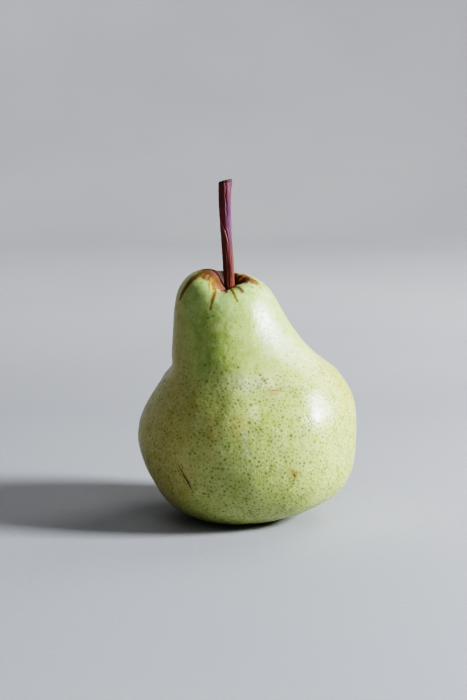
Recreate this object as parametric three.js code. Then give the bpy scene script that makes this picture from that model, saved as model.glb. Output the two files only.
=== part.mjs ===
// A table pear standing on its calyx end: one fleshy fruit with a lopsided neck,
// a woody stem set in a cavity in its top, and a dried calyx in the basin underneath.
// Millimetres, +Z up, the fruit resting on the plane z = 0.
import * as THREE from 'three';

// ---------------------------------------------------------------- driving dimensions
const SCALE = 1.0;              // one number for the size of the whole pear
const FRAME_SHIFT = [-0.08, -0.1, 0];   // brings the middle of the footprint to x = y = 0

// The fruit's skin, ring by ring from the middle of the calyx basin, out over the
// resting ring, up the belly, waist, neck and shoulder, and down into the stem socket.
// Each row holds the ring's height, its left and right ends, its centre line in X, and
// its front and back ends.
//   z,     left,   right,  centre, front,  back
const RINGS = [
  [ 5.6,  -0.60,  -0.60,  -0.60,  -0.30,  -0.30],   // 0  middle of the calyx basin
  [ 5.5,  -3.20,   2.00,  -0.60,  -2.90,   2.30],   // 1  basin floor
  [ 4.0,  -6.20,   5.00,  -0.60,  -5.70,   5.10],   // 2  basin wall
  [ 1.2,  -9.40,   8.00,  -0.70,  -8.60,   7.90],   // 3  basin lip
  [-0.6, -13.20,  11.40,  -0.90, -12.20,  11.30],   // 4  resting ring, inner edge
  [-0.3, -18.00,  15.40,  -1.20, -16.60,  16.00],   // 5  resting ring, outer edge
  [ 1.6, -23.05,  21.90,  -0.80, -22.00,  21.50],   // 6
  [ 5.0, -27.30,  28.20,   0.20, -26.90,  26.40],   // 7  lower belly
  [ 9.5, -30.80,  32.85,   0.70, -30.90,  30.50],   // 8
  [14.0, -33.60,  35.55,   0.80, -33.60,  33.30],   // 9
  [19.0, -35.90,  37.00,   0.60, -35.50,  35.30],   // 10
  [24.0, -37.40,  37.55,   0.30, -36.40,  36.30],   // 11
  [29.0, -37.95,  37.85,   0.10, -36.60,  36.50],   // 12 widest belly
  [34.0, -37.10,  37.95,   0.30, -36.00,  35.90],   // 13
  [38.6, -35.30,  37.65,   0.70, -34.80,  34.70],   // 14 upper belly
  [42.8, -32.90,  36.40,   0.90, -32.60,  32.50],   // 15
  [46.4, -30.60,  34.45,   0.80, -30.10,  30.00],   // 16
  [49.2, -29.15,  32.55,   0.50, -28.10,  28.00],   // 17
  [51.2, -28.15,  30.75,   0.10, -26.80,  26.70],   // 18 waist
  [52.8, -27.60,  28.80,  -0.50, -25.80,  25.60],   // 19
  [54.8, -26.95,  25.95,  -1.50, -24.60,  24.30],   // 20
  [58.0, -26.15,  21.95,  -2.90, -22.90,  22.60],   // 21 neck
  [62.4, -25.65,  17.95,  -4.40, -20.80,  20.60],   // 22
  [67.2, -25.40,  14.70,  -5.70, -18.80,  18.80],   // 23
  [72.0, -25.10,  11.85,  -6.70, -17.10,  17.10],   // 24
  [76.4, -24.55,   9.70,  -7.40, -15.50,  15.50],   // 25
  [80.2, -23.10,   7.10,  -7.80, -13.50,  13.60],   // 26 shoulder
  [83.2, -20.35,   4.25,  -7.80, -11.10,  11.30],   // 27
  [84.6, -16.20,   2.20,  -7.30,  -8.40,   8.80],   // 28
  [84.9, -12.10,   0.40,  -6.40,  -5.70,   6.40],   // 29 crest round the stem cavity
  [83.2, -10.40,  -1.70,  -6.05,  -4.00,   4.50],   // 30 cavity wall
  [80.4,  -9.20,  -3.00,  -6.05,  -3.00,   3.20],   // 31
  [78.0,  -8.70,  -3.35,  -6.00,  -2.65,   2.65],   // 32 mouth of the stem socket
  [75.4,  -8.50,  -3.50,  -6.00,  -2.50,   2.50],   // 33
  [72.7,  -8.45,  -3.55,  -6.00,  -2.45,   2.45],   // 34 foot of the stem socket
  [72.4,  -6.00,  -6.00,  -6.00,   0.00,   0.00],   // 35 floor of the stem socket
];

// The crest is not level: its height above the row's, every 30 degrees round from +X
// by the back, the high left shoulder and the low front.
const RIM = [-2.0, -1.3, -0.7, -0.2, 0.3, 1.0, 1.8, 0.3, -3.0, -4.4, -3.5, -2.7];
const RIM_ROW = 25;             // first row that follows the crest's height
const RIM_WEIGHT = [0.06, 0.25, 0.62, 0.95, 1.0, 0.75, 0.3, 0.05];

// Lobes and hollows: angle and row of the middle, spread in angle and rows, how far the
// skin moves outwards and how far it moves up.
const LOBES = [
  { at: 262, row: 29.2, spread: 10, rows: 1.6, out: -0.3, up: -2.2 },   // notch in front of the stem
  { at: 181, row: 18.9, spread: 21, rows: 1.05, out: -1.55, up: 0 },    // sharp waist on the left
  { at: 281, row: 14.5, spread: 12, rows: 3.2, out: -0.9, up: 0 },      // soft groove down the front
  { at: 302, row: 13.0, spread: 15, rows: 3.2, out: 0.6, up: 0 },       // lobe beside the groove
  { at: -12, row: 5.8, spread: 46, rows: 1.35, out: 0, up: 1.85 },      // right underside clears the table
  { at: -12, row: 4.0, spread: 60, rows: 0.55, out: 0, up: -0.55 },     // but its inner edge still rests
  { at: 62, row: 12.0, spread: 26, rows: 4.0, out: 0.55, up: 0 },       // low lobes round the back
  { at: 100, row: 13.5, spread: 16, rows: 4.5, out: -0.55, up: 0 },
  { at: 140, row: 11.0, spread: 24, rows: 4.0, out: 0.45, up: 0 },
  { at: 210, row: 13.0, spread: 14, rows: 3.5, out: -0.35, up: 0 },
  { at: 75, row: 22.5, spread: 30, rows: 3.0, out: 0.4, up: 0 },
  { at: 120, row: 24.0, spread: 22, rows: 2.5, out: -0.35, up: 0 },
];

const FRUIT_SEGMENTS = 60;      // facets round the fruit

// The stem's rings: height, centre in X and Y, and radius. It is set into the socket,
// bends a little to the left, and flares into a cut knob.
const STEM = [
  [ 73.6, -6.00, 0.00, 0.95],
  [ 73.9, -6.00, 0.00, 1.55],
  [ 74.8, -6.00, 0.00, 1.95],
  [ 77.0, -6.00, 0.00, 2.08],
  [ 80.4, -6.05, 0.00, 2.10],
  [ 84.0, -6.30, 0.03, 2.08],
  [ 88.0, -6.60, 0.08, 2.05],
  [ 92.0, -6.85, 0.14, 2.00],
  [ 96.0, -7.05, 0.20, 1.92],
  [100.0, -7.20, 0.26, 1.85],
  [104.0, -7.32, 0.32, 1.86],
  [107.5, -7.38, 0.36, 1.98],
  [110.5, -7.40, 0.40, 2.15],
  [113.0, -7.42, 0.44, 2.30],
  [115.0, -7.42, 0.47, 2.45],
  [116.2, -7.42, 0.49, 2.48],
  [116.8, -7.42, 0.50, 2.25],
  [116.9, -7.42, 0.50, 1.70],
];
const STEM_SEGMENTS = 28;
const STEM_RIDGE = 0.10;        // depth of its two main ridges, as a share of the radius
const STEM_RIDGE_3 = 0.055;     // and of the three finer ones
const STEM_TWIST = -0.055;      // turn of the ridges, radians for each millimetre of height
const STEM_CUT_TILT = 0.10;     // slope of the cut face

// The dried calyx in the basin: five sepals round a tuft of withered stamens.
const CALYX_X = -0.60;
const CALYX_Y = -0.30;
const SEPAL_THICKNESS = 0.5;
//              turn, length, curl (how far the tip turns back up), half-width
const SEPALS = [
  { turn: 14, length: 1.00, curl: 0.35, half: 1.12 },
  { turn: 88, length: 0.90, curl: 0.60, half: 1.04 },
  { turn: 158, length: 1.05, curl: 0.25, half: 1.16 },
  { turn: 231, length: 0.94, curl: 0.50, half: 1.06 },
  { turn: 303, length: 1.02, curl: 0.40, half: 1.10 },
];
const TUFT_TOP = 5.22;          // height of the tuft's foot, just under the basin floor
const TUFT_TIP = 2.7;
const TUFT_RADIUS = 1.2;

// ---------------------------------------------------------------- geometry helpers
const rad = (deg) => (deg * Math.PI) / 180;

// The four weights of a uniform cubic B-spline at u between its two middle values.
function weights(u) {
  return [
    (1 - u) ** 3 / 6,
    (3 * u ** 3 - 6 * u ** 2 + 4) / 6,
    (-3 * u ** 3 + 3 * u ** 2 + 3 * u + 1) / 6,
    u ** 3 / 6,
  ];
}

// A smooth curve through a table's column, reaching the first and last values exactly.
function along(values, k) {
  const n = values.length;
  const i = Math.min(Math.floor(k), n - 2);
  const w = weights(k - i);
  const at = (j) => {
    if (j < 0) return 2 * values[0] - values[1];
    if (j > n - 1) return 2 * values[n - 1] - values[n - 2];
    return values[j];
  };
  return w[0] * at(i - 1) + w[1] * at(i) + w[2] * at(i + 1) + w[3] * at(i + 2);
}

// The same round a closed table.
function around(values, turn) {
  const n = values.length;
  const q = (((turn / (2 * Math.PI)) * n) % n + n) % n;
  const i = Math.floor(q);
  const w = weights(q - i);
  const at = (j) => values[((j % n) + n) % n];
  return w[0] * at(i - 1) + w[1] * at(i) + w[2] * at(i + 1) + w[3] * at(i + 2);
}

// One closed body from a stack of rings, each a list of [x, y, z], with a fan at each end.
function closedStack(rings, first, last) {
  const m = rings[0].length;
  const points = [];
  for (const ring of rings) for (const p of ring) points.push(p);
  const foot = points.push(first) - 1;
  const head = points.push(last) - 1;
  const faces = [];
  for (let r = 0; r + 1 < rings.length; r += 1) {
    for (let s = 0; s < m; s += 1) {
      const a = r * m + s;
      const b = r * m + ((s + 1) % m);
      const c = a + m;
      const d = b + m;
      faces.push([a, b, d], [a, d, c]);
    }
  }
  const top = (rings.length - 1) * m;
  for (let s = 0; s < m; s += 1) {
    const t = (s + 1) % m;
    faces.push([foot, t, s], [head, top + s, top + t]);
  }
  let volume = 0;
  for (const [a, b, c] of faces) {
    const [p, q, r] = [points[a], points[b], points[c]];
    volume += p[0] * (q[1] * r[2] - q[2] * r[1]) - p[1] * (q[0] * r[2] - q[2] * r[0]) + p[2] * (q[0] * r[1] - q[1] * r[0]);
  }
  const index = [];
  for (const [a, b, c] of faces) {
    if (volume > 0) index.push(a, b, c);
    else index.push(a, c, b);
  }
  const position = new Float32Array(points.length * 3);
  points.forEach((p, i) => {
    position[3 * i] = (p[0] + FRAME_SHIFT[0]) * SCALE;
    position[3 * i + 1] = (p[1] + FRAME_SHIFT[1]) * SCALE;
    position[3 * i + 2] = (p[2] + FRAME_SHIFT[2]) * SCALE;
  });
  const geometry = new THREE.BufferGeometry();
  geometry.setAttribute('position', new THREE.BufferAttribute(position, 3));
  geometry.setIndex(index);
  geometry.computeVertexNormals();
  return geometry;
}

const group = new THREE.Group();
group.name = 'pear';

function add(name, geometry, color, roughness) {
  const mesh = new THREE.Mesh(geometry, new THREE.MeshStandardMaterial({ color, roughness, metalness: 0 }));
  mesh.name = name;
  group.add(mesh);
  return mesh;
}

// ---------------------------------------------------------------- the fruit
const column = (c) => RINGS.map((row) => row[c]);
const [Z, LEFT, RIGHT, CENTRE, FRONT, BACK] = [0, 1, 2, 3, 4, 5].map(column);
const RIM_FOLLOW = RINGS.map((_, i) => RIM_WEIGHT[i - RIM_ROW] ?? 0);
const LAST = RINGS.length - 1;

function skin(turn, k) {
  const c = Math.cos(turn);
  const s = Math.sin(turn);
  const centre = along(CENTRE, k);
  const left = centre - along(LEFT, k);
  const right = along(RIGHT, k) - centre;
  const front = along(FRONT, k);
  const back = along(BACK, k);
  let out = 0;
  let up = 0;
  for (const lobe of LOBES) {
    const away = ((((turn * 180) / Math.PI - lobe.at + 180) % 360) + 360) % 360 - 180;
    const g = Math.exp(-0.5 * (away / lobe.spread) ** 2 - 0.5 * ((k - lobe.row) / lobe.rows) ** 2);
    out += lobe.out * g;
    up += lobe.up * g;
  }
  out *= Math.min(1, k / 3) * Math.min(1, Math.max(0, (34 - k) / 3));
  const x = centre + ((left + right) / 2 + ((right - left) / 2) * c + out) * c;
  const y = (front + back) / 2 + ((back - front) / 2 + out) * s;
  const z = along(Z, k) + up + along(RIM_FOLLOW, k) * around(RIM, turn);
  return [x, y, Math.max(z, 0)];          // the weight of the fruit flattens it at z = 0
}

const stops = [];
for (let k = 0.4; k < 8; k += 0.4) stops.push(k);
for (let k = 8; k < 16; k += 1) stops.push(k);
for (let k = 16; k < 20; k += 0.5) stops.push(k);
for (let k = 20; k < 25; k += 1) stops.push(k);
for (let k = 25; k < 33; k += 0.5) stops.push(k);
stops.push(33, 34, 34.6);

const fruitRings = stops.map((k) => {
  const ring = [];
  for (let s = 0; s < FRUIT_SEGMENTS; s += 1) ring.push(skin((2 * Math.PI * s) / FRUIT_SEGMENTS, k));
  return ring;
});
add('fruit', closedStack(fruitRings, skin(0, 0), skin(0, LAST)), '#b4c07a', 0.42);

// ---------------------------------------------------------------- the stem
const stemRings = STEM.map(([z, x, y, r]) => {
  const ring = [];
  const twist = STEM_TWIST * (z - STEM[0][0]);
  const fade = Math.min(1, Math.max(0, (z - 78) / 8));
  const tilt = Math.min(1, Math.max(0, (z - 112) / 4));
  for (let s = 0; s < STEM_SEGMENTS; s += 1) {
    const a = (2 * Math.PI * s) / STEM_SEGMENTS;
    const ridge = 1 + fade * (STEM_RIDGE * Math.cos(2 * (a - twist) - 0.6) + STEM_RIDGE_3 * Math.cos(3 * (a - 1.4 * twist) + 0.9));
    const px = r * ridge * Math.cos(a);
    const py = r * ridge * Math.sin(a);
    ring.push([x + px, y + py, z + tilt * STEM_CUT_TILT * px]);
  }
  return ring;
});
const stemFoot = STEM[0];
const stemHead = STEM[STEM.length - 1];
add(
  'stem',
  closedStack(stemRings, [stemFoot[1], stemFoot[2], stemFoot[0]], [stemHead[1], stemHead[2], stemHead[0] - 0.15]),
  '#7a3f3c',
  0.5,
);

// ---------------------------------------------------------------- the calyx
// A sepal is a thin blade that leaves the basin floor, bends outwards and narrows to a tip.
// Its middle line: distance from the calyx axis, height, and share of the half-width.
const BLADE = [
  [1.80, 4.76, 0.62],
  [2.30, 4.20, 0.86],
  [3.05, 3.52, 1.00],
  [4.00, 2.92, 0.98],
  [5.00, 2.42, 0.82],
  [5.90, 2.08, 0.56],
  [6.60, 1.92, 0.26],
];
const BLADE_SIDES = 10;

SEPALS.forEach((sepal, i) => {
  const turn = rad(sepal.turn);
  const outward = [Math.cos(turn), Math.sin(turn)];
  const across = [-Math.sin(turn), Math.cos(turn)];
  const middle = BLADE.map(([r, z, w], j) => {
    const s = j / (BLADE.length - 1);
    return { r: BLADE[0][0] + (r - BLADE[0][0]) * sepal.length, z: z + sepal.curl * Math.max(0, s - 0.45) ** 2 * 2.2, w: w * sepal.half };
  });
  const rings = middle.map((p, j) => {
    const before = middle[Math.max(0, j - 1)];
    const after = middle[Math.min(middle.length - 1, j + 1)];
    const dr = after.r - before.r;
    const dz = after.z - before.z;
    const length = Math.hypot(dr, dz);
    const nr = -dz / length;              // the blade's upper side, in the radial plane
    const nz = dr / length;
    const ring = [];
    for (let q = 0; q < BLADE_SIDES; q += 1) {
      const a = (2 * Math.PI * q) / BLADE_SIDES;
      const u = p.w * Math.cos(a);
      const v = (SEPAL_THICKNESS / 2) * Math.sin(a) - 0.16 * (u * u) / (p.w * p.w);   // cupped edges
      const r = p.r + nr * v;
      ring.push([CALYX_X + r * outward[0] + u * across[0], CALYX_Y + r * outward[1] + u * across[1], p.z + nz * v]);
    }
    return ring;
  });
  const a = middle[0];
  const b = middle[middle.length - 1];
  const foot = [CALYX_X + a.r * outward[0], CALYX_Y + a.r * outward[1], a.z + 0.05];
  const tip = [CALYX_X + (b.r + 0.35) * outward[0], CALYX_Y + (b.r + 0.35) * outward[1], b.z + 0.02];
  add(`sepal_${i + 1}`, closedStack(rings, foot, tip), '#4a3420', 0.85);
});

// The tuft: a short, ragged, hollow-ended brush of withered stamens.
const TUFT_RINGS = [
  [0.00, 0.62], [0.15, 0.82], [0.35, 0.92], [0.60, 1.00], [0.85, 1.06], [1.00, 0.92],
];
const TUFT_SEGMENTS = 20;
const tuftRings = TUFT_RINGS.map(([s, w], j) => {
  const ring = [];
  for (let q = 0; q < TUFT_SEGMENTS; q += 1) {
    const a = (2 * Math.PI * q) / TUFT_SEGMENTS;
    const strand = 1 + 0.14 * Math.cos(10 * a) * s;
    const r = TUFT_RADIUS * w * strand;
    const ragged = j >= TUFT_RINGS.length - 2 ? 0.22 * Math.cos(5 * a + 1.1) + 0.12 * Math.cos(3 * a) : 0;
    ring.push([CALYX_X + r * Math.cos(a), CALYX_Y + r * Math.sin(a), TUFT_TOP + (TUFT_TIP - TUFT_TOP) * s + ragged]);
  }
  return ring;
});
add('stamen_tuft', closedStack(tuftRings, [CALYX_X, CALYX_Y, TUFT_TOP], [CALYX_X, CALYX_Y, TUFT_TIP + 0.7]), '#2e2013', 0.9);

export default group;
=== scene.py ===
# A table pear standing on its calyx end: skin, stem, sepals and withered stamens,
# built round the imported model. Metres in Blender; the tables below are in millimetres.
import math

import bpy
import numpy as np
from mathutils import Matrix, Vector, kdtree, noise


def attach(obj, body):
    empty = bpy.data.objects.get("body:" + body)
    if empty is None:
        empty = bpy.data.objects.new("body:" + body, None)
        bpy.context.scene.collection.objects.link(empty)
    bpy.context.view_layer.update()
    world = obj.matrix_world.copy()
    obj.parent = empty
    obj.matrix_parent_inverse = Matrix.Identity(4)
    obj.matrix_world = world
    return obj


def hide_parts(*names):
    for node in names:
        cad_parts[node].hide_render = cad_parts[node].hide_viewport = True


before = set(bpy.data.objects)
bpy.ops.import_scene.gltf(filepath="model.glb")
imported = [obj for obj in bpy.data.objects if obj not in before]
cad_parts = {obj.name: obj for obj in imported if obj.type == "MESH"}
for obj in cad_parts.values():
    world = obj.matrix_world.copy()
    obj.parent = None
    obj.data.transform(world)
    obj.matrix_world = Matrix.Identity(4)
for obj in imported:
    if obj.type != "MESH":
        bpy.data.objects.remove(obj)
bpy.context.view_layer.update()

MM = 0.001
SHIFT = np.array([-0.08, -0.10, 0.0])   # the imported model's own shift, mm

# ------------------------------------------------------------------ the fruit's surface
# height, left end, right end, centre line in X, front end, back end, from the middle of
# the calyx basin, over the resting ring and up the outside, to the stem socket.
RINGS = np.array([
    [5.6, -0.60, -0.60, -0.60, -0.30, -0.30],
    [5.5, -3.20, 2.00, -0.60, -2.90, 2.30],
    [4.0, -6.20, 5.00, -0.60, -5.70, 5.10],
    [1.2, -9.40, 8.00, -0.70, -8.60, 7.90],
    [-0.6, -13.20, 11.40, -0.90, -12.20, 11.30],
    [-0.3, -18.00, 15.40, -1.20, -16.60, 16.00],
    [1.6, -23.05, 21.90, -0.80, -22.00, 21.50],
    [5.0, -27.30, 28.20, 0.20, -26.90, 26.40],
    [9.5, -30.80, 32.85, 0.70, -30.90, 30.50],
    [14.0, -33.60, 35.55, 0.80, -33.60, 33.30],
    [19.0, -35.90, 37.00, 0.60, -35.50, 35.30],
    [24.0, -37.40, 37.55, 0.30, -36.40, 36.30],
    [29.0, -37.95, 37.85, 0.10, -36.60, 36.50],
    [34.0, -37.10, 37.95, 0.30, -36.00, 35.90],
    [38.6, -35.30, 37.65, 0.70, -34.80, 34.70],
    [42.8, -32.90, 36.40, 0.90, -32.60, 32.50],
    [46.4, -30.60, 34.45, 0.80, -30.10, 30.00],
    [49.2, -29.15, 32.55, 0.50, -28.10, 28.00],
    [51.2, -28.15, 30.75, 0.10, -26.80, 26.70],
    [52.8, -27.60, 28.80, -0.50, -25.80, 25.60],
    [54.8, -26.95, 25.95, -1.50, -24.60, 24.30],
    [58.0, -26.15, 21.95, -2.90, -22.90, 22.60],
    [62.4, -25.65, 17.95, -4.40, -20.80, 20.60],
    [67.2, -25.40, 14.70, -5.70, -18.80, 18.80],
    [72.0, -25.10, 11.85, -6.70, -17.10, 17.10],
    [76.4, -24.55, 9.70, -7.40, -15.50, 15.50],
    [80.2, -23.10, 7.10, -7.80, -13.50, 13.60],
    [83.2, -20.35, 4.25, -7.80, -11.10, 11.30],
    [84.6, -16.20, 2.20, -7.30, -8.40, 8.80],
    [84.9, -12.10, 0.40, -6.40, -5.70, 6.40],
    [83.2, -10.40, -1.70, -6.05, -4.00, 4.50],
    [80.4, -8.85, -3.25, -6.05, -2.75, 2.95],
    [78.6, -8.15, -3.85, -6.00, -2.12, 2.12],
    [77.6, -7.70, -4.30, -6.00, -1.70, 1.70],
    [76.8, -7.00, -5.00, -6.00, -1.00, 1.00],
    [76.6, -6.00, -6.00, -6.00, 0.00, 0.00],
])
LAST = len(RINGS) - 1
# height of the crest round the stem, every 30 degrees from +X by the back
RIM = np.array([-2.0, -1.3, -0.7, -0.2, 0.3, 1.0, 1.8, 0.3, -3.0, -4.4, -3.5, -2.7])
RIM_FOLLOW = np.zeros(len(RINGS))
RIM_FOLLOW[25:33] = [0.06, 0.25, 0.62, 0.95, 1.0, 0.75, 0.3, 0.05]
# lobes and hollows: degrees, row, spread in degrees and rows, outwards, up
LOBES = [
    (262, 29.2, 10, 1.6, -0.3, -2.2),
    (181, 18.9, 21, 1.05, -1.55, 0.0),
    (281, 14.5, 12, 3.2, -0.9, 0.0),
    (302, 13.0, 15, 3.2, 0.6, 0.0),
    (-12, 5.8, 46, 1.35, 0.0, 1.85),
    (-12, 4.0, 60, 0.55, 0.0, -0.55),
    (62, 12.0, 26, 4.0, 0.55, 0.0),
    (100, 13.5, 16, 4.5, -0.55, 0.0),
    (140, 11.0, 24, 4.0, 0.45, 0.0),
    (210, 13.0, 14, 3.5, -0.35, 0.0),
    (75, 22.5, 30, 3.0, 0.4, 0.0),
    (120, 24.0, 22, 2.5, -0.35, 0.0),
]


def spline(values, k):
    """A uniform cubic B-spline through a table's column, ends reached exactly."""
    v = np.asarray(values, float)
    ext = np.concatenate([[2 * v[0] - v[1]], v, [2 * v[-1] - v[-2]]])
    k = np.clip(k, 0, len(v) - 1)
    i = np.minimum(np.floor(k).astype(int), len(v) - 2)
    u = k - i
    return ((1 - u) ** 3 * ext[i] + (3 * u**3 - 6 * u**2 + 4) * ext[i + 1]
            + (-3 * u**3 + 3 * u**2 + 3 * u + 1) * ext[i + 2] + u**3 * ext[i + 3]) / 6


def circle_spline(values, deg):
    v = np.asarray(values, float)
    n = len(v)
    q = (np.asarray(deg, float) / 360 * n) % n
    i = np.floor(q).astype(int)
    u = q - i
    return ((1 - u) ** 3 * v[(i - 1) % n] + (3 * u**3 - 6 * u**2 + 4) * v[i % n]
            + (-3 * u**3 + 3 * u**2 + 3 * u + 1) * v[(i + 1) % n] + u**3 * v[(i + 2) % n]) / 6


def away(deg, at):
    return (deg - at + 180) % 360 - 180


def smooth_fruit(deg, k):
    """Points of the smooth fruit, in mm, for angles in degrees and rows k."""
    deg, k = np.broadcast_arrays(np.asarray(deg, float), np.asarray(k, float))
    th = np.radians(deg)
    c, s = np.cos(th), np.sin(th)
    z, xl, xr, cx, yf, yb = (spline(RINGS[:, j], k) for j in range(6))
    out, up = np.zeros(k.shape), np.zeros(k.shape)
    for at, row, spread, rows, lobe_out, lobe_up in LOBES:
        g = np.exp(-0.5 * (away(deg, at) / spread) ** 2 - 0.5 * ((k - row) / rows) ** 2)
        out += lobe_out * g
        up += lobe_up * g
    out *= np.clip(k / 3, 0, 1) * np.clip((34 - k) / 3, 0, 1)
    left, right = cx - xl, xr - cx
    x = cx + ((left + right) / 2 + (right - left) / 2 * c + out) * c
    y = (yf + yb) / 2 + ((yb - yf) / 2 + out) * s
    z = z + up + spline(RIM_FOLLOW, k) * circle_spline(RIM, deg)
    return np.stack([x, y, z], -1)


# Shallow dimples and swellings that make the skin uneven: degrees, row, spread in
# degrees and rows, millimetres outwards.
DIMPLES = [
    (247, 16.2, 6.5, 1.1, -0.26), (262, 15.0, 6, 1.0, 0.22), (293, 16.1, 6, 0.9, -0.20),
    (270, 11.4, 7, 1.0, -0.22), (255, 9.4, 7, 0.9, 0.20), (285, 9.7, 6, 0.9, -0.18),
    (232, 12.2, 7, 1.1, 0.16), (308, 16.6, 7, 1.0, 0.20), (318, 11.5, 7, 1.2, -0.16),
    (330, 14.5, 8, 1.1, 0.16), (215, 15.8, 8, 1.0, -0.16), (282, 21.2, 9, 1.3, -0.20),
    (250, 21.6, 8, 1.2, 0.16), (238, 25.0, 9, 1.0, 0.16), (20, 14.0, 9, 1.2, -0.22),
    (48, 10.5, 8, 1.0, 0.18), (80, 16.5, 8, 1.2, -0.24), (112, 11.0, 8, 1.1, 0.20),
    (150, 14.8, 9, 1.2, -0.20), (172, 10.5, 8, 1.0, 0.16), (60, 22.0, 10, 1.2, -0.20),
    (135, 21.0, 9, 1.2, 0.18), (8, 22.5, 9, 1.2, 0.14), (100, 8.6, 8, 0.9, -0.16),
]


def unevenness(deg, k, p):
    """How far the real skin stands off the smooth one, in mm."""
    flat_p = p.reshape(-1, 3)
    d = np.empty(len(flat_p))
    for i, (x, y, z) in enumerate(flat_p.tolist()):
        broad = noise.noise(Vector((x / 13.0 + 5.1, y / 13.0 - 2.3, z / 15.0 + 9.7)))
        middle = noise.noise(Vector((x / 5.2 - 7.7, y / 5.2 + 3.9, z / 5.8 + 1.3)))
        fine = noise.noise(Vector((x / 2.1 + 2.2, y / 2.1 + 8.8, z / 2.1 - 4.4)))
        d[i] = 0.30 * broad + 0.115 * middle + 0.028 * fine
    d = d.reshape(k.shape)
    for at, row, spread, rows, out in DIMPLES:
        d = d + out * np.exp(-0.5 * (away(deg, at) / spread) ** 2 - 0.5 * ((k - row) / rows) ** 2)
    # puckers that run from the skin into the stem cavity, and folds round the calyx basin
    pucker = (0.20 * np.cos(np.radians(7 * deg + 40)) + 0.14 * np.cos(np.radians(11 * deg - 25))
              + 0.08 * np.cos(np.radians(17 * deg + 70)))
    d = d + pucker * np.exp(-0.5 * ((k - 30.0) / 0.95) ** 2)
    fold = 0.22 * np.cos(np.radians(5 * deg + 10)) + 0.10 * np.cos(np.radians(9 * deg - 50))
    d = d + fold * np.exp(-0.5 * ((k - 2.6) / 0.75) ** 2)
    ends = np.clip((k - 0.6) / 2.0, 0, 1) * np.clip((32.0 - k) / 2.2, 0, 1)
    return d * ends


def skin_points(deg, k):
    """Points of the finished skin, in mm."""
    deg, k = np.broadcast_arrays(np.asarray(deg, float), np.asarray(k, float))
    p = smooth_fruit(deg, k)
    e = 0.02
    along = smooth_fruit(deg, np.minimum(k + e, LAST)) - smooth_fruit(deg, np.maximum(k - e, 0))
    round_ = smooth_fruit(deg + 0.3, k) - smooth_fruit(deg - 0.3, k)
    n = np.cross(round_, along)
    n /= np.maximum(np.linalg.norm(n, axis=-1, keepdims=True), 1e-9)
    p = p + n * unevenness(deg, k, p)[..., None] + SHIFT
    p[..., 2] = np.maximum(p[..., 2], 0.0)        # the weight of the fruit flattens it
    return p


# ------------------------------------------------------------------ marks on the skin
# Soft tints: degrees, row, spread in degrees and rows, which tint, how much of it. The paler tint is a painted
# highlight and sheen.
G, W, P, Y = range(4)                            # greener, warmer, paler, yellower
TINTS = [
    (246, 22.4, 15, 2.3, G, 0.90), (262, 21.3, 12, 1.2, G, 0.40), (226, 26.8, 12, 1.2, G, 0.28),
    (276, 14.8, 4, 1.0, G, 0.38), (278, 13.4, 4, 0.8, G, 0.30), (281, 17.2, 7, 1.7, G, 0.26),
    (247, 15.4, 10, 1.4, G, 0.45), (250, 9.4, 22, 1.5, G, 0.45), (291, 9.3, 14, 1.4, G, 0.25),
    (262, 12.4, 8, 1.2, G, 0.20), (316, 13.4, 9, 1.4, G, 0.15), (238, 18.6, 12, 1.0, G, 0.25),
    (207, 13.0, 27, 3.8, W, 1.05), (195, 9.5, 26, 2.2, W, 0.70), (194, 23.0, 23, 4.4, W, 0.95),
    (2, 14.5, 26, 4.0, W, 0.70), (335, 18.3, 12, 1.6, W, 0.50), (293, 19.0, 12, 1.1, W, 0.25),
    (263.6, 14.0, 2.2, 0.7, W, 0.60), (250.5, 13.6, 3.2, 0.7, W, 0.45), (300, 22.8, 18, 2.6, W, 0.10),
    # paler patches: painted highlight and sheen
    (268.0, 13.4, 1.9, 0.30, P, 0.75), (268.6, 12.4, 1.7, 0.62, P, 0.70), (273.6, 14.5, 1.7, 0.55, P, 0.55),
    (268.9, 14.9, 3.0, 0.35, P, 0.45), (284.4, 13.2, 3.4, 0.9, P, 0.40), (295.8, 13.2, 3.2, 0.4, P, 0.50),
    (256.2, 12.2, 1.6, 0.25, P, 0.50), (271.2, 11.6, 1.5, 0.35, P, 0.40), (275, 18.0, 17, 1.3, P, 0.95),
    (312, 22.5, 15, 1.9, P, 0.92), (288, 24.5, 13, 2.0, G, 0.28), (262, 25.6, 9, 0.55, P, 0.50), (300, 10.8, 14, 1.8, P, 0.30),
    (281.2, 14.45, 1.8, 0.30, Y, 0.62), (283.6, 14.05, 1.3, 0.32, Y, 0.66), (268.5, 11.6, 1.2, 0.20, Y, 0.95),
    (258.6, 12.6, 1.3, 0.17, Y, 0.95), (264.6, 13.2, 1.2, 0.45, Y, 0.45), (271.1, 12.4, 2.0, 0.50, Y, 0.40),
    (280.8, 11.6, 1.5, 0.35, Y, 0.60), (299.7, 10.4, 1.0, 0.40, Y, 0.50), (293.7, 12.76, 1.4, 0.18, Y, 0.60),
    (60, 22.0, 24, 3.0, G, 0.60), (118, 15.0, 18, 2.6, G, 0.45), (40, 9.5, 24, 2.0, G, 0.40),
    (150, 22.5, 20, 2.4, G, 0.25), (78, 11.0, 18, 2.2, W, 0.45), (150, 10.0, 20, 2.5, W, 0.55),
    (100, 20.5, 18, 1.8, W, 0.35), (20, 24.5, 16, 2.0, W, 0.20), (88, 24.0, 20, 2.0, P, 0.40),
    (52, 12.6, 3.0, 0.6, P, 0.60), (96, 13.2, 1.8, 0.3, Y, 0.85), (128, 11.2, 1.6, 0.5, P, 0.60),
    (34, 15.6, 2.2, 0.5, Y, 0.60), (150, 16.2, 3.0, 0.6, P, 0.50), (112, 17.6, 10, 0.8, P, 0.45),
    (170, 13.6, 2.0, 0.4, Y, 0.60), (66, 9.8, 2.6, 0.5, P, 0.45),
]
# Row where the russet of the stem cavity begins, every 30 degrees from +X by the back.
RUSSET_EDGE = [28.35, 28.70, 28.75, 28.5, 28.2, 28.2, 27.80, 27.80, 28.05, 28.75, 28.20, 28.10]

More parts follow.
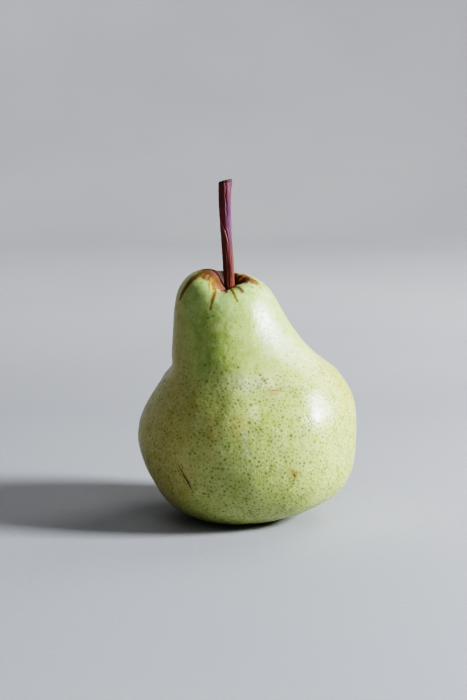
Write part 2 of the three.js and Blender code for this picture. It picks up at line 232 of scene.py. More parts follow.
DARK, ORANGE, OLIVE, RED, GREEN, PINK, YELLOW, TAN, BUFF, ROSE, RUST, SIENNA, UMBER_AND_SHADE = range(13)
MARK_COLOURS = {                     # linear
    DARK: (0.098, 0.044, 0.010), ORANGE: (0.255, 0.104, 0.016), OLIVE: (0.205, 0.134, 0.012),
    RED: (0.080, 0.028, 0.010), GREEN: (0.150, 0.190, 0.024), PINK: (0.400, 0.205, 0.110),
    YELLOW: (0.400, 0.430, 0.060), TAN: (0.350, 0.250, 0.078), BUFF: (0.490, 0.395, 0.158), ROSE: (0.155, 0.044, 0.022), RUST: (0.132, 0.044, 0.005), SIENNA: (0.210, 0.076, 0.021),
    UMBER_AND_SHADE: (0.036, 0.010, 0.005),
}
# Thin marks: colour, half-width at each end in mm, raggedness, softness, strength, then
# the line's points as (degrees, row).
STROKES = [
    # the band down the left shoulder, with a thin lighter border outside it
    (BUFF, 0.60, 0.42, 0.26, 0.40, 0.50, [(189.0, 28.0), (195.5, 27.4), (200.8, 26.9), (203.0, 26.4), (202.8, 25.9), (201.8, 25.4), (200.0, 24.9)]),
    (RUST, 1.20, 0.90, 0.45, 0.50, 0.88, [(188.0, 28.5), (197.0, 28.2), (205.0, 27.9), (213.0, 27.95), (222.0, 28.0)]),
    (OLIVE, 1.60, 0.75, 0.46, 0.42, 0.94, [(197.0, 28.35), (203.2, 27.8), (207.8, 27.2), (209.4, 26.6), (209.0, 26.1), (207.8, 25.6), (205.6, 25.1)]),
    (DARK, 0.80, 0.28, 0.42, 0.45, 0.55, [(198.5, 28.25), (205.0, 27.75), (208.2, 27.15), (209.4, 26.5), (208.9, 26.0), (207.4, 25.45)]),
    (SIENNA, 0.60, 0.30, 0.40, 0.35, 0.75, [(208.5, 28.2), (213.0, 27.95), (217.0, 27.8), (221.0, 27.75)]),
    (OLIVE, 0.26, 0.14, 0.24, 0.24, 0.55, [(208.0, 27.6), (213.5, 27.5), (218.5, 27.55)]),
    # the warm cap over the crest, between the band and the cavity
    (RUST, 1.45, 1.10, 0.50, 0.60, 0.85, [(196.0, 28.5), (206.0, 28.6), (216.0, 28.75), (227.0, 28.9), (240.0, 28.9), (252.0, 28.8)]),
    (ROSE, 1.05, 0.90, 0.34, 0.60, 0.75, [(200.0, 29.1), (212.0, 29.5), (224.0, 29.8), (238.0, 29.9), (248.0, 29.6), (258.0, 29.0)]),
    (SIENNA, 0.85, 0.75, 0.42, 0.45, 0.85, [(232.0, 28.25), (240.0, 28.1), (247.0, 27.95), (252.0, 28.15)]),
    (SIENNA, 0.80, 0.55, 0.40, 0.50, 0.80, [(242.0, 28.5), (249.0, 28.3), (254.0, 28.3), (260.0, 28.2)]),
    # the tongue that runs down the front
    (ORANGE, 1.05, 0.70, 0.42, 0.42, 0.85, [(226.0, 28.6), (233.0, 28.35), (241.0, 28.1), (250.3, 27.55), (256.2, 26.7)]),
    (ORANGE, 0.76, 0.52, 0.34, 0.34, 0.92, [(250.3, 27.6), (256.4, 26.6), (256.3, 25.75), (254.8, 25.2)]),
    (OLIVE, 0.50, 0.44, 0.26, 0.28, 0.85, [(256.6, 26.0), (255.8, 25.5), (254.6, 25.1), (253.4, 24.75), (252.7, 24.55)]),
    (DARK, 0.18, 0.20, 0.20, 0.20, 0.28, [(257.2, 26.0), (256.2, 25.4), (253.6, 24.75), (252.7, 24.50)]),
    (BUFF, 0.42, 0.26, 0.20, 0.38, 0.50, [(253.0, 26.9), (253.4, 26.2), (252.4, 25.6)]),
    (TAN, 0.48, 0.28, 0.36, 0.38, 0.75, [(228.0, 28.4), (236.0, 27.9), (243.5, 27.25), (248.9, 26.5)]),
    (ORANGE, 0.36, 0.20, 0.32, 0.28, 0.60, [(229.0, 28.35), (236.5, 27.75), (244.0, 27.1)]),
    (TAN, 0.40, 0.22, 0.35, 0.32, 0.55, [(214.0, 28.4), (221.0, 28.05), (227.0, 27.75)]),
    # the reddish notch where the rim folds in front of the stem
    (ROSE, 0.95, 0.42, 0.30, 0.45, 0.85, [(250.0, 29.1), (258.0, 28.5), (265.0, 27.8), (271.0, 27.2), (273.0, 26.55)]),
    (RED, 0.60, 0.26, 0.22, 0.34, 0.80, [(262.0, 28.9), (269.0, 27.9), (272.6, 27.1), (273.0, 26.5)]),
    (BUFF, 0.70, 0.45, 0.45, 0.60, 0.42, [(261.4, 26.8), (263.0, 26.2), (264.6, 25.8)]),
    # streaks that run out of the cavity on the right
    (OLIVE, 0.78, 0.40, 0.36, 0.38, 0.95, [(271.5, 29.0), (278.0, 28.0), (281.2, 27.2), (282.2, 26.5), (283.0, 25.9), (284.4, 25.3)]),
    (DARK, 0.42, 0.18, 0.34, 0.30, 0.74, [(273.5, 28.6), (279.8, 27.6), (282.0, 26.6), (283.0, 25.8)]),
    (RED, 0.20, 0.20, 0.12, 0.20, 0.55, [(278.4, 26.10)]),
    (OLIVE, 0.44, 0.20, 0.40, 0.34, 0.85, [(279.0, 28.4), (284.0, 27.7), (288.5, 26.9)]),
    (DARK, 1.15, 0.70, 0.75, 0.62, 0.90, [(282.0, 29.0), (287.0, 28.4), (291.5, 27.7), (294.2, 27.0), (295.4, 26.35)]),
    (UMBER_AND_SHADE, 0.36, 0.18, 0.45, 0.40, 0.26, [(284.0, 28.8), (289.5, 28.1), (293.0, 27.3), (294.8, 26.65)]),
    (PINK, 0.45, 0.45, 0.30, 0.45, 0.50, [(289.5, 28.0)]),
    (OLIVE, 0.45, 0.24, 0.40, 0.30, 0.82, [(291.0, 28.5), (296.0, 28.05), (301.3, 27.5)]),
    # the wall behind the stem: dark russet with painted shade where the stem and rim shadow it
    (UMBER_AND_SHADE, 1.60, 1.40, 0.50, 0.80, 0.95, [(84.0, 30.4), (100.0, 30.1), (116.0, 29.9), (132.0, 29.8), (150.0, 29.9)]),
    (UMBER_AND_SHADE, 0.90, 0.70, 0.50, 0.60, 0.85, [(104.0, 29.5), (118.0, 29.2), (134.0, 29.1), (150.0, 29.2), (166.0, 29.4)]),
    # the far rim of the cavity and its streaks to the right
    (DARK, 1.00, 0.60, 0.42, 0.36, 0.90, [(57.0, 29.7), (30.3, 29.5), (8.0, 29.2), (352.0, 28.9), (341.0, 28.3), (331.0, 27.5)]),
    (ORANGE, 0.85, 0.50, 0.45, 0.42, 0.85, [(54.6, 28.9), (30.7, 28.95), (8.8, 28.7), (354.3, 28.2), (345.0, 27.55)]),
    (BUFF, 0.40, 0.30, 0.26, 0.34, 0.65, [(56.0, 28.5), (52.0, 28.9), (46.0, 29.2)]),
    (OLIVE, 0.42, 0.16, 0.36, 0.34, 0.70, [(349.0, 28.0), (347.5, 27.3), (346.5, 26.6), (345.5, 26.1)]),
    (ORANGE, 0.70, 0.42, 0.45, 0.38, 0.80, [(334.0, 27.9), (332.4, 27.45), (331.0, 26.95)]),
    (ORANGE, 1.15, 0.95, 0.55, 0.50, 0.88, [(350.0, 28.1), (344.5, 27.6), (339.0, 27.1)]),
    (DARK, 0.45, 0.26, 0.40, 0.32, 0.60, [(350.0, 28.1), (345.0, 27.6), (343.0, 27.25)]),
    (TAN, 0.30, 0.22, 0.30, 0.34, 0.50, [(331.5, 26.7), (332.4, 26.35)]),
    (TAN, 0.55, 0.28, 0.42, 0.40, 0.60, [(316.0, 28.7), (312.5, 28.1), (311.0, 27.5)]),
    # flecks scattered beyond the russet on the right shoulder
    (ORANGE, 0.42, 0.30, 0.26, 0.30, 0.74, [(333.6, 26.50), (335.4, 26.40)]),
    (OLIVE, 0.34, 0.28, 0.16, 0.26, 0.66, [(319.9, 26.18)]),
    (RUST, 0.44, 0.30, 0.30, 0.30, 0.70, [(352.8, 26.52), (350.0, 26.38)]),
    (ORANGE, 0.30, 0.26, 0.14, 0.24, 0.64, [(332.1, 26.17)]),
    (OLIVE, 0.42, 0.32, 0.26, 0.28, 0.68, [(315.3, 26.83), (317.2, 26.70)]),
    (OLIVE, 0.28, 0.26, 0.12, 0.24, 0.58, [(299.4, 26.06)]),
    (RUST, 0.26, 0.24, 0.10, 0.22, 0.62, [(310.9, 25.90)]),
    (ORANGE, 0.32, 0.24, 0.20, 0.26, 0.60, [(345.0, 25.94), (343.6, 25.84)]),
    (TAN, 0.80, 0.60, 0.60, 0.70, 0.36, [(338.0, 26.60), (330.0, 26.30), (322.0, 26.35)]),
    # small marks on the neck
    (GREEN, 0.26, 0.18, 0.22, 0.26, 0.85, [(249.0, 23.88), (250.8, 23.90)]),
    (GREEN, 0.22, 0.20, 0.20, 0.24, 0.80, [(253.6, 24.02), (255.8, 24.05)]),
    (OLIVE, 0.22, 0.22, 0.08, 0.20, 0.70, [(280.6, 23.32)]),
    (GREEN, 0.32, 0.32, 0.10, 0.26, 0.75, [(227.7, 27.15)]),
    (GREEN, 0.75, 0.75, 0.25, 0.60, 0.50, [(258.6, 21.2)]),
    (DARK, 0.16, 0.16, 0.06, 0.16, 0.55, [(259.3, 21.15)]),
    # the scratch low on the left of the belly, and its pale lip
    (TAN, 0.34, 0.42, 0.20, 0.45, 0.42, [(234.6, 10.55), (236.2, 10.15), (237.4, 9.70), (238.0, 9.35)]),
    (TAN, 0.34, 0.20, 0.20, 0.30, 0.50, [(231.4, 11.02), (232.2, 10.80), (233.3, 10.58)]),
    (DARK, 0.12, 0.14, 0.26, 0.20, 0.60, [(231.8, 10.92), (232.6, 10.76), (233.3, 10.60)]),
    (RED, 0.17, 0.25, 0.30, 0.18, 0.98, [(233.2, 10.62), (233.7, 10.50), (234.5, 10.28), (234.7, 10.14), (235.6, 9.96)]),
    (RED, 0.27, 0.13, 0.28, 0.18, 0.98, [(235.5, 9.98), (236.2, 9.70), (236.4, 9.52), (237.0, 9.34)]),
    (DARK, 0.30, 0.30, 0.18, 0.22, 0.60, [(234.1, 10.40), (235.4, 10.0)]),
    # the fine line and the rub right of the middle
    (TAN, 1.25, 1.10, 0.60, 1.10, 0.42, [(283.8, 16.80), (287.4, 16.95), (290.6, 17.08)]),
    (ORANGE, 0.55, 0.42, 0.50, 0.65, 0.46, [(283.6, 16.55), (286.6, 16.50)]),
    (DARK, 0.14, 0.09, 0.16, 0.22, 0.70, [(282.8, 16.86), (286.6, 16.86), (291.6, 16.75)]),
    # the small scab low on the right, with its flecks
    (TAN, 1.20, 1.00, 0.75, 1.00, 0.44, [(291.8, 10.78), (294.4, 10.50), (296.6, 10.62)]),
    (OLIVE, 0.48, 0.44, 0.80, 0.72, 0.55, [(292.8, 10.80), (293.7, 10.58), (294.4, 10.26)]),
    (DARK, 0.24, 0.20, 0.24, 0.26, 0.85, [(293.6, 10.56), (294.1, 10.42)]),
    (BUFF, 0.75, 0.75, 0.30, 0.75, 0.40, [(295.9, 12.50)]),
    (ORANGE, 0.16, 0.14, 0.12, 0.22, 0.55, [(292.4, 12.62), (292.8, 12.50)]),
    (ORANGE, 0.15, 0.13, 0.12, 0.22, 0.50, [(297.4, 12.56), (298.9, 12.52)]),
    (OLIVE, 0.30, 0.30, 0.14, 0.22, 0.80, [(241.5, 13.16)]),
    (OLIVE, 0.32, 0.32, 0.12, 0.22, 0.75, [(223.9, 18.35)]),
    (OLIVE, 0.30, 0.30, 0.12, 0.22, 0.75, [(247.9, 19.57)]),
    (DARK, 0.32, 0.24, 0.20, 0.22, 0.70, [(212.4, 10.26), (213.6, 10.16)]),
    (OLIVE, 0.30, 0.26, 0.22, 0.24, 0.80, [(243.4, 9.12), (245.0, 9.14)]),
    (TAN, 0.34, 0.24, 0.28, 0.30, 0.55, [(336.1, 19.63), (331.8, 18.94)]),
    # marks round the side away from the front
    (ORANGE, 0.70, 0.36, 0.42, 0.36, 0.85, [(88.0, 28.8), (84.0, 27.7), (83.0, 26.7), (85.0, 25.9)]),
    (OLIVE, 0.38, 0.18, 0.26, 0.26, 0.85, [(84.0, 26.4), (86.0, 25.6), (86.5, 25.0)]),
    (ORANGE, 0.85, 0.45, 0.44, 0.38, 0.85, [(128.0, 28.5), (131.0, 27.6), (130.0, 26.8), (133.0, 25.9)]),
    (DARK, 0.32, 0.20, 0.26, 0.26, 0.75, [(128.6, 28.0), (130.8, 27.0), (131.0, 26.3)]),
    (OLIVE, 0.42, 0.22, 0.30, 0.28, 0.80, [(106.0, 28.7), (108.0, 27.6), (107.0, 26.9)]),
    (OLIVE, 0.36, 0.18, 0.26, 0.26, 0.80, [(152.0, 28.4), (155.0, 27.4), (158.0, 26.8)]),
    (TAN, 0.60, 0.30, 0.38, 0.36, 0.75, [(46.0, 28.8), (42.0, 27.7), (43.0, 26.9)]),
    (ORANGE, 0.65, 0.34, 0.40, 0.34, 0.80, [(172.0, 28.2), (176.0, 27.5), (175.0, 26.9)]),
    (OLIVE, 0.12, 0.09, 0.14, 0.18, 0.65, [(72.0, 17.2), (76.0, 17.05), (81.0, 17.1)]),
    (RED, 0.14, 0.09, 0.12, 0.12, 0.85, [(128.0, 12.8), (130.0, 12.2), (130.6, 11.6)]),
    (TAN, 0.30, 0.20, 0.20, 0.36, 0.40, [(129.4, 12.7), (131.4, 12.1), (131.8, 11.6)]),
    (OLIVE, 0.32, 0.32, 0.14, 0.22, 0.75, [(52.0, 14.3)]), (OLIVE, 0.30, 0.30, 0.14, 0.22, 0.75, [(158.0, 12.3)]),
    (OLIVE, 0.32, 0.32, 0.14, 0.22, 0.75, [(22.0, 18.4)]), (ORANGE, 0.28, 0.20, 0.30, 0.30, 0.55, [(98.0, 9.9), (99.6, 9.7)]),
]

# ------------------------------------------------------------------ mesh helpers


def new_object(name, points_mm, faces, smooth=True):
    me = bpy.data.meshes.new(name)
    me.from_pydata((np.asarray(points_mm) * MM).tolist(), [], faces)
    me.update()
    if smooth:
        me.shade_smooth()
    ob = bpy.data.objects.new(name, me)
    bpy.context.scene.collection.objects.link(ob)
    return ob


def vector_attribute(ob, name, domain, values):
    a = ob.data.attributes.new(name, "FLOAT_VECTOR", domain)
    a.data.foreach_set("vector", np.ascontiguousarray(values, np.float32).ravel())


def tube(rings, first=None, last=None, uv_around=1.0):
    """Points and quads of a stack of closed rings (n, m, 3), capped by fans or left as they are."""
    n, m, _ = rings.shape
    pts = rings.reshape(-1, 3).tolist()
    faces = []
    for r in range(n - 1):
        a = r * m
        for s in range(m):
            t = (s + 1) % m
            faces.append((a + s, a + t, a + m + t, a + m + s))
    if first is not None:
        pts.append(list(first))
        f = len(pts) - 1
        faces += [(f, (s + 1) % m, s) for s in range(m)]
    if last is not None:
        pts.append(list(last))
        f, top = len(pts) - 1, (n - 1) * m
        faces += [(f, top + s, top + (s + 1) % m) for s in range(m)]
    return pts, faces


def volume_sign(pts, faces):
    p = np.asarray(pts)
    v = 0.0
    for f in faces:
        a = p[f[0]]
        for i in range(1, len(f) - 1):
            v += float(np.dot(a, np.cross(p[f[i]], p[f[i + 1]])))
    return v


# ------------------------------------------------------------------ the skin's mesh
AROUND = 368
ROWS_K = 262
START = 90.0                                     # the seam is at the back


def rows_by_length():
    """Row numbers spaced evenly along the profile, closer over the crest and the cavity."""
    k = np.linspace(0, LAST, 4001)
    total = np.zeros(len(k) - 1)
    for deg in (0, 60, 120, 180, 240, 300):
        total += np.linalg.norm(np.diff(smooth_fruit(deg, k), axis=0), axis=1) / 6
    mid = (k[1:] + k[:-1]) / 2
    weight = 1 + 0.9 * np.clip((mid - 25.5) / 1.5, 0, 1) * np.clip((32.8 - mid) / 0.8, 0, 1)
    s = np.concatenate([[0], np.cumsum(total * weight)])
    at = np.interp(np.linspace(0, s[-1], ROWS_K + 2)[1:-1], s, k)
    return at, np.interp(at, k, np.concatenate([[0], np.cumsum(total)])) / total.sum()


row_k, row_v = rows_by_length()
deg_grid = START + np.arange(AROUND) * 360.0 / AROUND
K, D = np.meshgrid(row_k, deg_grid, indexing="ij")
grid = skin_points(D, K)
pts, faces = tube(grid, skin_points(0.0, 0.0), skin_points(0.0, float(LAST)))
if volume_sign(pts, faces[: AROUND * 40]) < 0:
    faces = [tuple(reversed(f)) for f in faces]
skin = new_object("skin", pts, faces)

vert_deg = np.concatenate([D.ravel(), [0.0, 0.0]]) % 360
vert_k = np.concatenate([K.ravel(), [0.0, float(LAST)]])


def fields(deg, k):
    tint = np.zeros((4,) + k.shape)
    for at, row, spread, rows, which, amount in TINTS:
        tint[which] += amount * np.exp(-0.5 * (away(deg, at) / spread) ** 2 - 0.5 * ((k - row) / rows) ** 2)
    top = (k - circle_spline(RUSSET_EDGE, deg)) * 0.8 + 0.5
    low = (3.1 + 0.35 * np.cos(np.radians(3 * deg)) - k) * 0.7 + 0.5
    russet = np.clip(np.maximum(top, low), -2, 4)
    return np.stack([tint[G], tint[W], russet], -1), np.stack([tint[P], tint[Y], russet * 0], -1)


zones, tones = fields(vert_deg, vert_k)
vector_attribute(skin, "zones", "POINT", zones)
vector_attribute(skin, "tones", "POINT", tones)
# how far into the stem cavity (used for its painted shade), into the calyx basin, and up the neck
depth = np.stack([np.clip((vert_k - 30.1) / 1.7, 0, 1), np.clip((2.6 - vert_k) / 2.0, 0, 1), np.clip((vert_k - 20.0) / 6.0, 0, 1)], -1)
vector_attribute(skin, "place", "POINT", depth)

# a cylindrical map with its seam at the back, v by the length of the profile
uv = skin.data.uv_layers.new(name="OFBake")
n_faces = len(skin.data.polygons)
loop_vert = np.empty(len(skin.data.loops), np.int32)
skin.data.loops.foreach_get("vertex_index", loop_vert)
loop_start = np.empty(n_faces, np.int32)
skin.data.polygons.foreach_get("loop_start", loop_start)
loop_total = np.empty(n_faces, np.int32)
skin.data.polygons.foreach_get("loop_total", loop_total)
pole_a, pole_b = AROUND * ROWS_K, AROUND * ROWS_K + 1
col = loop_vert % AROUND
u = col / AROUND
v = np.where(loop_vert < pole_a, row_v[np.minimum(loop_vert // AROUND, ROWS_K - 1)], 0.0)
face_of_loop = np.repeat(np.arange(n_faces), loop_total)
is_pole = loop_vert >= pole_a
has_first = np.zeros(n_faces, bool)
has_last = np.zeros(n_faces, bool)
np.logical_or.at(has_first, face_of_loop, (col == 0) & ~is_pole)
np.logical_or.at(has_last, face_of_loop, (col == AROUND - 1) & ~is_pole)
wraps = (has_first & has_last)[face_of_loop]
u = np.where(wraps & (col == 0) & ~is_pole, 1.0, u)
mean_u = np.zeros(n_faces)
np.add.at(mean_u, face_of_loop, np.where(is_pole, 0.0, u))
mean_u /= np.maximum(1, loop_total - np.bincount(face_of_loop, is_pole, n_faces))
u = np.where(is_pole, mean_u[face_of_loop], u)
v = np.where(loop_vert == pole_a, 0.0, np.where(loop_vert == pole_b, 1.0, v))
uvs = np.stack([0.004 + 0.992 * u, 0.004 + 0.992 * v], -1)
uv.data.foreach_set("uv", uvs.astype(np.float32).ravel())

# ------------------------------------------------------------------ lenticels
rng = np.random.default_rng(20231)
P = np.asarray(pts)
centres = np.empty(n_faces * 3, np.float32)
skin.data.polygons.foreach_get("center", centres)
centres = centres.reshape(-1, 3).astype(float) / MM
areas = np.empty(n_faces, np.float32)
skin.data.polygons.foreach_get("area", areas)
areas = areas.astype(float)
quad_rows = AROUND * (ROWS_K - 1)
ki = np.arange(quad_rows) // AROUND
ji = np.arange(quad_rows) % AROUND
corner = grid.reshape(-1, 3)
c00, c01 = ki * AROUND + ji, ki * AROUND + (ji + 1) % AROUND
c10, c11 = c00 + AROUND, c01 + AROUND
N_TRY = 90000
weights = areas[:quad_rows] / areas[:quad_rows].sum()
pick = rng.choice(quad_rows, N_TRY, p=weights)
a, b = rng.random(N_TRY), rng.random(N_TRY)
place = ((1 - a) * (1 - b))[:, None] * corner[c00[pick]] + (a * (1 - b))[:, None] * corner[c01[pick]] \
    + ((1 - a) * b)[:, None] * corner[c10[pick]] + (a * b)[:, None] * corner[c11[pick]]
dot_k = row_k[ki[pick]] + b * (row_k[np.minimum(ki[pick] + 1, ROWS_K - 1)] - row_k[ki[pick]])
dot_deg = (START + (ji[pick] + a) * 360.0 / AROUND) % 360

neck = np.clip((dot_k - 17.5) / 4.5, 0, 1)
gap = 1.08 + 0.98 * neck + 0.45 * np.clip((dot_k - 25) / 2, 0, 1) - 0.10 * np.clip((11 - dot_k) / 3, 0, 1)
crowd = np.array([noise.noise(Vector((x_ / 6.0 + 1.7, y_ / 6.0, z_ / 6.0 - 3.1))) for x_, y_, z_ in place.tolist()])
gap *= (0.66 + 0.66 * rng.random(N_TRY)) * (1 + 0.30 * crowd)
edge_row = circle_spline(RUSSET_EDGE, dot_deg)
usable = (dot_k > 3.2) & (dot_k < edge_row - 0.3)
tree = kdtree.KDTree(N_TRY)
for i, q in enumerate(place.tolist()):
    tree.insert(q, i)
tree.balance()
taken = ~usable
chosen = []
for i in range(N_TRY):
    if taken[i]:
        continue
    chosen.append(i)
    for _, j, _ in tree.find_range(place[i], gap[i]):
        taken[j] = True
chosen = np.array(chosen)
dots, dk, dd = place[chosen], dot_k[chosen], dot_deg[chosen]
nk = neck[chosen]
size = rng.random(len(dots))
big = rng.random(len(dots))
radius = (0.148 + 0.152 * size**1.6) * (1 - 0.25 * nk)
radius = np.where(big > 0.95, radius * 1.30, radius)
strength = (0.20 + 0.62 * rng.random(len(dots)) ** 1.35) * (1 - 0.40 * nk)
strength = np.where(big > 0.93, np.minimum(1.0, strength * 1.4 + 0.15), strength)
strength = np.minimum(1.0, strength * (1 + 0.72 * np.exp(-0.5 * (away(dd, 325.0) / 36.0) ** 2)) * (1 + 0.22 * np.clip((12.0 - dk) / 3.0, 0, 1)))
left_side = np.exp(-0.5 * (away(dd, 200.0) / 38.0) ** 2)
brown = np.clip(rng.normal(0.12, 0.13, len(dots)) + 0.40 * (big > 0.965) + 0.34 * left_side, 0, 1)

dot_tree = kdtree.KDTree(len(dots))
for i, q in enumerate(dots.tolist()):
    dot_tree.insert(q, i)
dot_tree.balance()
NEAR = 3
near = np.zeros((n_faces, NEAR), np.int64)
for i, q in enumerate(centres.tolist()):
    found = dot_tree.find_n(q, NEAR)
    for m_, (_, j, _) in enumerate(found):
        near[i, m_] = j
for m_ in range(NEAR):
    j = near[:, m_]
    vector_attribute(skin, f"dot_at_{m_}", "FACE", dots[j] * MM)
    vector_attribute(skin, f"dot_is_{m_}", "FACE", np.stack([radius[j] * MM, strength[j], brown[j]], -1))

# ------------------------------------------------------------------ strokes
seg_a, seg_b, seg_w, seg_c, seg_p, seg_of = [], [], [], [], [], []
for stroke, (colour, w0, w1, ragged, soft, power, line) in enumerate(STROKES):
    line = np.array(line, float)
    if len(line) == 1:
        q = skin_points(line[:, 0], line[:, 1])[0]
        ends, w = [(q, q + np.array([0.02, 0.0, 0.02]))], [w0]
    else:
        unwrapped = np.degrees(np.unwrap(np.radians(line[:, 0])))
        steps = np.concatenate([[0], np.cumsum(np.linalg.norm(np.diff(skin_points(unwrapped, line[:, 1]), axis=0), axis=1))])
        n = max(2, int(math.ceil(steps[-1] / 0.9)) + 1)
        t = np.linspace(0, steps[-1], n)
        q = skin_points(np.interp(t, steps, unwrapped), np.interp(t, steps, line[:, 1]))
        ends = list(zip(q[:-1], q[1:]))
        w = [w0 + (w1 - w0) * (i + 0.5) / (n - 1) for i in range(n - 1)]
    for (p, q), half in zip(ends, w):
        seg_a.append(p); seg_b.append(q); seg_w.append(half)
        seg_c.append(MARK_COLOURS[colour]); seg_p.append((ragged, soft, power)); seg_of.append(stroke)
seg_a, seg_b, seg_w = np.array(seg_a), np.array(seg_b), np.array(seg_w)
seg_c, seg_p, seg_of = np.array(seg_c), np.array(seg_p), np.array(seg_of)


def segment_distance(p, a, b):
    ab = b - a
    t = np.clip(((p - a) * ab).sum(-1) / np.maximum((ab * ab).sum(-1), 1e-12), 0, 1)
    return np.linalg.norm(p - a - t[..., None] * ab, axis=-1)


# every face keeps the three nearest strokes, painted in the order of the list
SLOTS = 3
slot_seg = np.full((SLOTS, n_faces), -1)
slot_gap = np.full((SLOTS, n_faces), 1e9)
for stroke in range(len(STROKES)):
    segs = np.nonzero(seg_of == stroke)[0]
    reach = 1.3 * seg_p[segs[0], 0] + seg_p[segs[0], 1] + 0.6
    box_lo = np.minimum(seg_a[segs], seg_b[segs]).min(0) - reach - seg_w[segs].max()
    box_hi = np.maximum(seg_a[segs], seg_b[segs]).max(0) + reach + seg_w[segs].max()
    close = np.nonzero(((centres > box_lo) & (centres < box_hi)).all(1))[0]
    if not len(close):
        continue
    away_by = np.stack([segment_distance(centres[close], seg_a[q], seg_b[q]) - seg_w[q] for q in segs])
    which = away_by.argmin(0)
    gap_, seg_ = away_by.min(0), segs[which]
    ok = gap_ < reach
    close, gap_, seg_ = close[ok], gap_[ok], seg_[ok]
    for m_ in range(SLOTS):
        old_gap, old_seg = slot_gap[m_, close].copy(), slot_seg[m_, close].copy()
        nearer = gap_ < old_gap
        slot_gap[m_, close], slot_seg[m_, close] = np.where(nearer, gap_, old_gap), np.where(nearer, seg_, old_seg)
        gap_, seg_ = np.where(nearer, old_gap, gap_), np.where(nearer, old_seg, seg_)
order = np.argsort(np.where(slot_seg < 0, -1, seg_of[np.maximum(slot_seg, 0)]), axis=0, kind="stable")
slot_seg = np.take_along_axis(slot_seg, order, 0)
for tag, which in zip("cba", slot_seg):
    none = which < 0
    j = np.maximum(which, 0)
    far = np.array([0.0, 0.0, -900.0])
    vector_attribute(skin, f"mark_{tag}_from", "FACE", np.where(none[:, None], far, seg_a[j]) * MM)
    vector_attribute(skin, f"mark_{tag}_to", "FACE", np.where(none[:, None], far + 1.0, seg_b[j]) * MM)
    vector_attribute(skin, f"mark_{tag}_size", "FACE", np.stack([seg_w[j] * MM, seg_p[j, 0] * MM, seg_p[j, 1] * MM], -1))
    vector_attribute(skin, f"mark_{tag}_colour", "FACE", seg_c[j])
    vector_attribute(skin, f"mark_{tag}_power", "FACE", np.where(none, 0.0, seg_p[j, 2])[:, None] * np.ones(3))

# ------------------------------------------------------------------ the stem's mesh
# height, centre in X and Y, radius
STEM = np.array([
    [76.8, -5.98, 0.00, 1.20], [77.4, -5.98, 0.00, 1.62], [78.4, -5.98, 0.00, 1.80], [79.6, -6.00, 0.00, 1.80],
    [81.2, -6.04, 0.01, 1.74], [84.0, -6.18, 0.03, 1.71], [88.0, -6.44, 0.08, 1.75], [92.0, -6.74, 0.14, 1.80],
    [96.0, -7.06, 0.20, 1.88], [100.0, -7.32, 0.26, 2.02], [104.0, -7.47, 0.32, 2.16], [107.5, -7.52, 0.36, 2.25],
    [110.5, -7.50, 0.40, 2.32], [113.0, -7.48, 0.44, 2.38], [115.0, -7.46, 0.47, 2.44], [116.0, -7.46, 0.49, 2.46],
])
# The creases also carry painted shade and the ridges a painted highlight.
# Creases and ridges that wind along the stem: depth (a minus cuts in), half-width, both
# in mm, then points as (height, degrees).
STEM_LINES = [
    (-0.13, 0.14, [(102.2, 248), (100.6, 257), (98.0, 276), (96.0, 288), (94.0, 292)]),
    (0.13, 0.12, [(102.4, 230), (101.1, 240), (98.7, 259), (96.3, 277), (95.0, 284)]),
    (-0.10, 0.13, [(92.6, 263), (88.0, 262), (84.0, 260), (80.0, 257)]),
    (0.12, 0.10, [(92.8, 253), (90.0, 253), (86.0, 252), (82.0, 251), (79.6, 250)]),
    (-0.13, 0.13, [(116.4, 272), (113.0, 274), (110.0, 276), (107.0, 280), (104.5, 284)]),
    (0.11, 0.12, [(116.4, 261), (113.0, 262), (110.0, 264), (107.0, 268), (104.5, 272)]),
    (-0.09, 0.16, [(95.6, 300), (93.0, 303), (90.0, 301), (88.0, 297)]),
    (0.08, 0.16, [(103.0, 268), (99.0, 282), (95.0, 298), (91.0, 306)]),
    (-0.16, 0.26, [(115.5, 196), (111.0, 202), (106.0, 208), (101.0, 196), (96.0, 205), (91.0, 214), (86.0, 212), (81.0, 208)]),
    (-0.13, 0.24, [(116.2, 336), (112.0, 340), (108.0, 338), (103.0, 343), (98.0, 349), (93.0, 345), (87.0, 340), (82.0, 335)]),
    (0.08, 0.24, [(114.0, 312), (109.0, 315), (104.0, 318), (99.0, 322), (94.0, 325), (88.0, 320), (83.0, 315)]),
    (-0.22, 0.24, [(116.3, 22), (111.0, 30), (105.0, 41), (99.0, 57), (93.0, 66), (87.0, 62), (81.0, 58)]),
    (0.12, 0.20, [(115.0, 60), (109.0, 70), (103.0, 84), (97.0, 98), (91.0, 104), (84.0, 99), (80.0, 96)]),
    (-0.20, 0.20, [(116.2, 118), (110.0, 124), (104.0, 136), (98.0, 152), (92.0, 160), (86.0, 157), (80.0, 152)]),
    (-0.12, 0.18, [(101.0, 118), (96.0, 128), (91.0, 131), (87.0, 127)]),
    (0.10, 0.16, [(113.0, 150), (107.0, 160), (101.0, 172), (95.0, 182), (89.0, 184), (83.0, 180)]),
]
STEM_AROUND = 168


